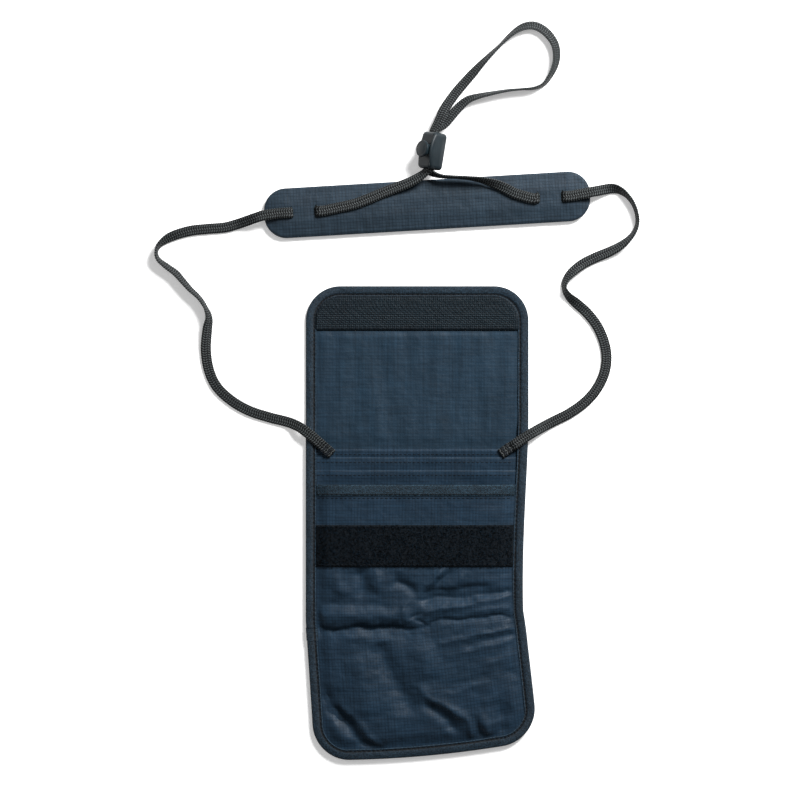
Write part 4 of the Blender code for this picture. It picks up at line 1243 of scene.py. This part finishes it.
def pocket_base(x, y):
    """The front pocket without its folds: flat at the binding, rounded above it, open at its mouth."""
    inside = edge_distance(x, y)
    rise = 0.62 * smooth(0.0064, 0.0150, inside) + 0.38 * smooth(0.0100, 0.0300, inside)
    mouth = smooth(POCKET_MOUTH_Y - 0.030, POCKET_MOUTH_Y, y)
    return POCKET_LOW + (POCKET_HIGH - POCKET_LOW - 0.0006 + 0.0006 * mouth) * rise


def pocket_surface(x, y):
    """The front pocket with its folds, and with fine ripples where no tape covers it."""
    below_loop = smooth(LOOP_BOTTOM_Y + 0.004, LOOP_BOTTOM_Y - 0.006, y)
    free = smooth(0.0066, 0.0105, edge_distance(x, y))
    ripple = rough(stacked(x, y * 2.2), 120.0, 4.4)
    fine = rough(stacked(x, y), 320.0, 6.6)
    above = smooth(LOOP_TOP_Y, LOOP_TOP_Y + 0.004, y) * smooth(HEM_BOTTOM_Y, HEM_BOTTOM_Y - 0.003, y)
    height = pocket_base(x, y)
    height += free * below_loop * (folds_at(*lay(x, y)) + 0.00016 * ripple + 0.00005 * fine)
    height += free * above * (0.00022 * rough(stacked(x, y), 75.0, 2.2) + 0.00005 * fine)
    return height


def make_panels():
    """The outer panel and the lining, which run through the fold."""
    outer = pattern_sheet(
        "outer_panel", BOTTOM_Y, TOP_Y, LAYER_INSET, outer_surface, OUTER_THICKNESS, 0.0016, RIPSTOP
    )
    inset = LAYER_INSET + 0.0002
    lining = pattern_sheet(
        "inner_lining", BOTTOM_Y, TOP_Y, inset, lining_surface, LINING_THICKNESS, 0.0011, LINING
    )
    for piece in (outer, lining):
        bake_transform(piece)
    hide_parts("back_panel", "flap_outer")
    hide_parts("back_lining", "flap_lining")
    return outer, lining


def make_pockets():
    """The three card pockets and the front pocket."""
    inset = LAYER_INSET + 0.0003
    for which, mouth in CARD_MOUTHS.items():
        surface = card_surface(which)
        name = f"card_pocket_cloth_{which}"
        sheet = pattern_sheet(name, BOTTOM_Y, mouth, inset, surface, LINING_THICKNESS, 0.0014, RIPSTOP)
        row = stitch_row(0.0072, mouth - 0.0034, surface, rise=0.00014)
        seam = threads(f"card_pocket_stitches_{which}", row, 0.00013, THREAD)
        settle(sheet, "pouch", "ripstop", f"card_pocket_{which}")
        settle(seam, "pouch", "ripstop")
    mouth = POCKET_MOUTH_Y - 0.0003
    pocket = pattern_sheet(
        "front_pocket_cloth", BOTTOM_Y, mouth, inset, pocket_surface, POCKET_THICKNESS, 0.00095, RIPSTOP
    )
    return settle(pocket, "pouch", "ripstop", "front_pocket")


def make_front_hem():
    """Tape folded over the pocket's mouth, held by two rows of stitches."""
    hem = band(
        "pocket_mouth_tape", HEM_BOTTOM_Y, POCKET_MOUTH_Y, pocket_base, 0.0006, 0.00045, 0.0012, HEM_TAPE
    )
    settle(hem, "pouch", "binding", "front_pocket_hem")
    rows = stitch_row(0.0074, HEM_BOTTOM_Y + 0.0011, pocket_base, 0.00060)
    rows += stitch_row(0.0074, HEM_BOTTOM_Y - 0.0013, pocket_surface, 0.00002)
    return [hem, settle(threads("pocket_mouth_stitches", rows, 0.00016, THREAD), "pouch", "binding")]


def make_loop_strip():
    """Black loop tape: a woven ground covered in a tangle of small standing loops."""
    ground = band("loop_tape", LOOP_BOTTOM_Y, LOOP_TOP_Y, pocket_base, 0.0009, 0.0007, 0.0011, PILE_TAPE)
    settle(ground, "pouch", "loop", "loop_strip")
    spread = random.Random(11)
    strands = []
    steps = np.linspace(0.0, math.pi, 6)
    for _ in range(LOOP_COUNT):
        x = spread.uniform(-HALF_WIDTH + 0.0074, HALF_WIDTH - 0.0074)
        y = spread.uniform(LOOP_BOTTOM_Y + 0.0002, LOOP_TOP_Y - 0.0002)
        foot = np.array(laid_point(x, y, pocket_base)) + (0.0, 0.0, 0.0007)
        turn = spread.uniform(0.0, 2.0 * math.pi)
        reach = spread.uniform(0.0003, 0.0008)
        tall = spread.uniform(0.0004, 0.0010)
        lean = spread.uniform(-0.0005, 0.0005)
        flat = np.array([math.cos(turn), math.sin(turn), 0.0])
        rising = np.array([-lean * flat[1], lean * flat[0], tall])
        strands.append(foot + reach * flat * np.cos(steps)[:, None] + rising * np.sin(steps)[:, None])
    pile = threads("loop_pile", strands, LOOP_RADIUS, PILE, sides=3)
    rows = []
    for y in (LOOP_TOP_Y - 0.0013, LOOP_BOTTOM_Y + 0.0013):
        rows += stitch_row(0.0078, y, pocket_base, 0.00098)
    seam = threads("loop_tape_stitches", rows, 0.00015, THREAD)
    return [ground, settle(pile, "pouch", "loop"), settle(seam, "pouch", "loop")]


def hook_surface(x, y):
    return np.full_like(x, LINING_TOP + HOOK_HEIGHT)


def make_hook_strip():
    """Hook tape in the flap's tip: rows of small stiff hooks on a woven ground."""
    inset = INSIDE_BINDING - 0.0006
    x, y = pattern_grid(rows_between(HOOK_BOTTOM_Y, TOP_Y, inset, 0.0011), inset, 118)
    edge = smooth(0.0, 0.0007, y - HOOK_BOTTOM_Y)
    height = hook_surface(x, y) - 0.0004 * (1.0 - edge) + 0.00007 * rough(stacked(x, y), 140.0, 3.3)
    ground = thick_cloth("hook_tape", x, y, height, 0.0006, HOOK_TAPE)
    strands = []
    row = 0
    y_at = HOOK_BOTTOM_Y + 0.0030
    while y_at < TOP_Y - INSIDE_BINDING - 0.0006:
        reach = float(half_width_at(np.array([y_at]), INSIDE_BINDING + 0.0006)[0])
        shift = 0.5 * HOOK_PITCH * (row % 2)
        for k in range(int(2.0 * reach / HOOK_PITCH)):
            x_at = -reach + shift + k * HOOK_PITCH
            if abs(x_at) <= reach:
                foot = np.array(laid_point(x_at, y_at, hook_surface)) - (0.0, 0.0, HOOK_HEIGHT - 0.00060)
                way = 1.0 if (row // 2 + k) % 2 else -1.0
                strands.append([foot + np.array([way * out, 0.0, up]) for out, up in HOOK_SHAPE])
        row += 1
        y_at += HOOK_PITCH
    hooks = threads("hook_rows", strands, HOOK_RADIUS, HOOKS, sides=4)
    sides = float(half_width_at(np.array([HOOK_BOTTOM_Y]), 0.0078)[0])
    row = stitch_row(0.0, HOOK_BOTTOM_Y + 0.0014, hook_surface, sides=sides)
    seam = threads("hook_tape_stitches", row, 0.00015, THREAD)
    settle(ground, "flap", "hook", "hook_strip")
    return [ground, settle(hooks, "flap", "hook"), settle(seam, "flap", "hook")]


# ---------------------------------------------------------------- binding


def edge_path(step):
    """The pouch's edge as places and inward directions in the pattern, once round from LAP_Y."""
    corner_x = HALF_WIDTH - CORNER_RADIUS
    low, high = BOTTOM_Y + CORNER_RADIUS, TOP_Y - CORNER_RADIUS
    knots = [(-HALF_WIDTH, LAP_Y, 1.0, 0.0)]
    sides, ends = (-corner_x, corner_x, corner_x, -corner_x), (low, low, high, high)
    for x, y, first in zip(sides, ends, (180.0, 270.0, 0.0, 90.0)):
        for angle in np.radians(np.linspace(first, first + 90.0, 25)):
            out_x, out_y = math.cos(angle), math.sin(angle)
            knots.append((x + CORNER_RADIUS * out_x, y + CORNER_RADIUS * out_y, -out_x, -out_y))
    knots = np.array([*knots, knots[0]])
    gone = run_along(knots[:, :2])
    stations = np.linspace(0.0, gone[-1], round(gone[-1] / step) + 1)
    return stacked(*(np.interp(stations, gone, knots[:, k]) for k in range(4))), stations


def binding_height(x, y):
    drop = FLAP_BINDING_HEIGHT - BODY_BINDING_HEIGHT
    return BODY_BINDING_HEIGHT + drop * smooth(*BINDING_DROP, y)


def tape_section(height):
    """The folded tape's section as insets and heights, from its lower inner edge right round."""
    radius = min(0.0011, 0.45 * height)
    outside = [(BINDING_WIDTH, 0.0), (0.0050, 0.0), (0.0030, 0.0)]
    for first, middle in ((-90.0, radius), (180.0, height - radius)):
        for turn in np.radians(np.linspace(first, first - 90.0, 5)):
            outside.append((radius * (1.0 + math.cos(turn)), middle + radius * math.sin(turn)))
    flat_insets = (0.0020, 0.0029, 0.0037, 0.0044, 0.0049, 0.0054, 0.0059, 0.0063)
    outside += [(inset, height) for inset in flat_insets]
    outside += [(0.0066, height - 0.00012), (BINDING_WIDTH, height - 0.00030), (0.0066, height - TAPE)]
    inside = [(0.0055, height - TAPE), (0.0015, height - TAPE), (0.0006, 0.5 * height)]
    return np.array([*outside, *inside, (0.0015, 0.0004), (0.0055, 0.0004), (0.0066, 0.0004)])


def sweep_tape(path, stations, swell=0.0):
    """The folded tape along part of the edge. swell lifts it off what it covers."""
    height = binding_height(path[:, 0], path[:, 1])[:, None]
    inset, up = np.array([tape_section(h) for h in height[:, 0]]).transpose(2, 0, 1)
    inset = np.where(inset > 0.006, inset + 2.0 * swell, inset - swell)
    upper = up > 0.5 * height
    up = up + np.where(upper, swell, -0.5 * swell)
    on_top = upper & (up > height - 0.0004)
    along = stations[:, None] + 0.0 * inset
    puffed = 0.00022 * hump(inset - 0.0028, 0.0016)
    groove = -0.00042 * hump(inset - STITCH_INSET, 0.00050)
    hole = 0.5 + 0.5 * np.cos(2.0 * math.pi * (along / STITCH_PITCH))
    pulled = -0.00014 * hole * hump(inset - STITCH_INSET, 0.0013)
    places = stacked(along, inset * 1.5)
    lumps = 0.00009 * rough(places, 260.0, 7.7) + 0.00013 * rough(places, 75.0, 1.3)
    up = up + np.where(on_top, puffed + groove + pulled + lumps * smooth(0.0003, 0.0014, inset), 0.0)
    bowed = 0.00022 * rough(stacked(along, 0.0 * inset), 60.0, 5.5)
    inset = inset + bowed * smooth(0.0050, 0.0064, inset)
    x = path[:, None, 0] + inset * path[:, None, 2]
    y = path[:, None, 1] + inset * path[:, None, 3]
    pattern = stacked(along, inset + 0.0067 * (up < 0.5 * height))
    return stacked(*lay(x, y), up), pattern


def make_binding():
    """The tape round the whole pouch, the lap where its ends meet, and its seam."""
    path, stations = edge_path(0.00075)
    points, pattern = sweep_tape(path[:-1], stations[:-1])
    faces = grid_quads(*points.shape[:2], closed_rows=True, closed_columns=True)
    tape = make_object("edge_binding", points.reshape(-1, 3), faces, BINDING, pattern)
    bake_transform(tape)
    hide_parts("body_binding", "flap_binding")

    near = (stations > stations[-1] - LAP_REACH) | (stations < LAP_REACH)
    order = np.argsort((stations[near] + 2.0 * LAP_REACH) % stations[-1])[1:]
    points, pattern = sweep_tape(path[near][order], stations[near][order], LAP_SWELL)
    faces = tube_faces(*points.shape[:2], flip_caps=True)
    lap = make_object("binding_lap", points.reshape(-1, 3), faces, BINDING, pattern)
    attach(lap, "pouch")

    strands = []
    for k in range(int(stations[-1] / STITCH_PITCH)):
        ends = []
        for beyond in (0.0, STITCH_LENGTH):
            station = (k + 0.12) * STITCH_PITCH + beyond
            x, y, in_x, in_y = (float(np.interp(station, stations, path[:, n])) for n in range(4))
            end = laid_point(x + STITCH_INSET * in_x, y + STITCH_INSET * in_y, binding_height)
            ends.append((*end[:2], end[2] - SEAM_SINK))
        strands.append(stitch(*ends, 0.00017))
        strands.append(stitch(*((x, y, 0.00002) for x, y, _ in ends), -0.00012))
    seam = threads("binding_stitches", strands, 0.00018, THREAD)
    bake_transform(seam)
    return [tape, lap, seam]


# ---------------------------------------------------------------- neck pad


def pad_edge_distance(x, y):
    past_x = np.abs(x) - (0.5 * PAD_LENGTH - PAD_RADIUS)
    return inside_round_corners(past_x, np.abs(y) - (0.5 * PAD_WIDTH - PAD_RADIUS), PAD_RADIUS)


def pad_grid(step):
    """Places over the pad, in its own frame."""
    turns = np.linspace(0.0, 0.5 * math.pi, int(1.6 * PAD_RADIUS / step) + 2)
    straight = 0.5 * PAD_LENGTH - PAD_RADIUS
    tip = straight + PAD_RADIUS * np.sin(turns)
    inner = np.linspace(-straight, straight, int(2.0 * straight / step) + 2)[1:-1]
    along = np.concatenate([-tip[::-1], inner, tip])
    x = np.broadcast_to(along[:, None], (len(along), int(PAD_WIDTH / step) + 3)).copy()
    beyond = np.maximum(np.abs(x) - straight, 0.0)
    half = 0.5 * PAD_WIDTH - PAD_RADIUS + np.sqrt(np.maximum(PAD_RADIUS**2 - beyond**2, 0.0))
    return x, np.linspace(1.0, -1.0, x.shape[1])[None, :] * half


def pad_droop(x, y):
    """How far the soft rim sinks towards the surface the pad lies on."""
    return PAD_DROOP * (1.0 - smooth(0.0, 0.0120, pad_edge_distance(x, y)))


def pad_top(x, y):
    round_over = rounded(pad_edge_distance(x, y), 0.0022)
    waves = 0.00010 * rough(stacked(x, 0.35 * y), 70.0, 2.6) + 0.00007 * rough(stacked(x, y), 160.0, 7.1)
    slits = sum(hump(np.abs(x) - offset, 0.0035) * hump(y, 0.0065) for offset in SLIT_OFFSETS[2:])
    return PAD_HIGH - pad_droop(x, y) - 0.0009 * (1.0 - round_over) + waves - 0.00025 * slits


def pad_bottom(x, y):
    rim = 0.0004 * (1.0 - smooth(0.0, 0.0025, pad_edge_distance(x, y)))
    return PAD_LOW - pad_droop(x, y) + rim


def pad_place(x, y, height):
    """Points of the pad's own frame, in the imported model's frame."""
    across = PAD_CENTRE[0] + x * math.cos(PAD_TURN) - y * math.sin(PAD_TURN)
    along = PAD_CENTRE[1] + x * math.sin(PAD_TURN) + y * math.cos(PAD_TURN)
    return stacked(across, along, height)


def slit_cutter(offset, lean):
    """A slanting prism as wide open as the braid needs, with pointed ends; lean is +1 or -1."""
    ys = np.linspace(-SLIT_TALL, SLIT_TALL, 17)
    half = SLIT_OPEN * (1.0 - np.abs(ys / SLIT_TALL) ** 4) + 0.00004
    x = offset + np.concatenate([half, -half[::-1]])
    y = np.concatenate([ys, ys[::-1]])
    slant = lean * SLIT_SLANT
    rings = [pad_place(x + slant * (z - SLIT_MIDDLE_Z), y, np.full(len(x), z)) for z in SLIT_CUT]
    return make_object("slit_cutter", np.concatenate(rings), tube_faces(2, len(x)), FOAM)


def pad_layer(name, upper, lower, step, material, stands_for, slot):
    """A layer of the pad between two surfaces, with its four slits."""
    x, y = pad_grid(step)
    top, bottom = pad_place(x, y, upper(x, y)), pad_place(x, y, lower(x, y))
    item = solid_between(name, top, bottom, stacked(x, y), material)
    cut(item, [slit_cutter(offset, lean) for offset, lean in zip(SLIT_OFFSETS, SLIT_LEANS)])
    places = np.array([vertex.co for vertex in item.data.vertices], float)
    from_x, from_y = places[:, 0] - PAD_CENTRE[0], places[:, 1] - PAD_CENTRE[1]
    along = from_x * math.cos(PAD_TURN) + from_y * math.sin(PAD_TURN)
    across = from_y * math.cos(PAD_TURN) - from_x * math.sin(PAD_TURN)
    if "pattern" in item.data.attributes:
        item.data.attributes.remove(item.data.attributes["pattern"])
    store_pattern(item.data, stacked(along, across))
    smooth_off(item, 50.0)
    return settle(item, "neck_pad", slot, stands_for)


def make_neck_pad():
    def under(surface, depth):
        return lambda x, y: surface(x, y) - depth

    cloth, foam_depth = PAD_CLOTH_THICKNESS, PAD_CLOTH_THICKNESS + PAD_GAP
    face_low, back_top = under(pad_top, cloth), under(pad_bottom, -cloth)
    foam_top, foam_low = under(pad_top, foam_depth), under(pad_bottom, -foam_depth)
    face = pad_layer("pad_face_cloth", pad_top, face_low, 0.0010, PAD_CLOTH, "pad_top_fabric", "ripstop")
    foam = pad_layer("pad_foam_core", foam_top, foam_low, 0.0016, FOAM, "pad_foam", "foam")
    back = pad_layer(
        "pad_back_cloth", back_top, pad_bottom, 0.0016, PAD_CLOTH, "pad_bottom_fabric", "ripstop"
    )


# ---------------------------------------------------------------- the whole object


def main():
    make_stage()
    make_cords([make_lock_body(), make_lock_button(), make_lock_spring()])
    make_tab("left", (-0.0574, 0.0464), math.radians(138.0))
    make_tab("right", (0.0557, 0.0462), math.radians(36.0))
    outer, lining = make_panels()
    pocket = make_pockets()
    on_pocket = make_front_hem() + make_loop_strip()
    hook_pieces = make_hook_strip()
    edge_pieces = make_binding()
    make_neck_pad()


main()
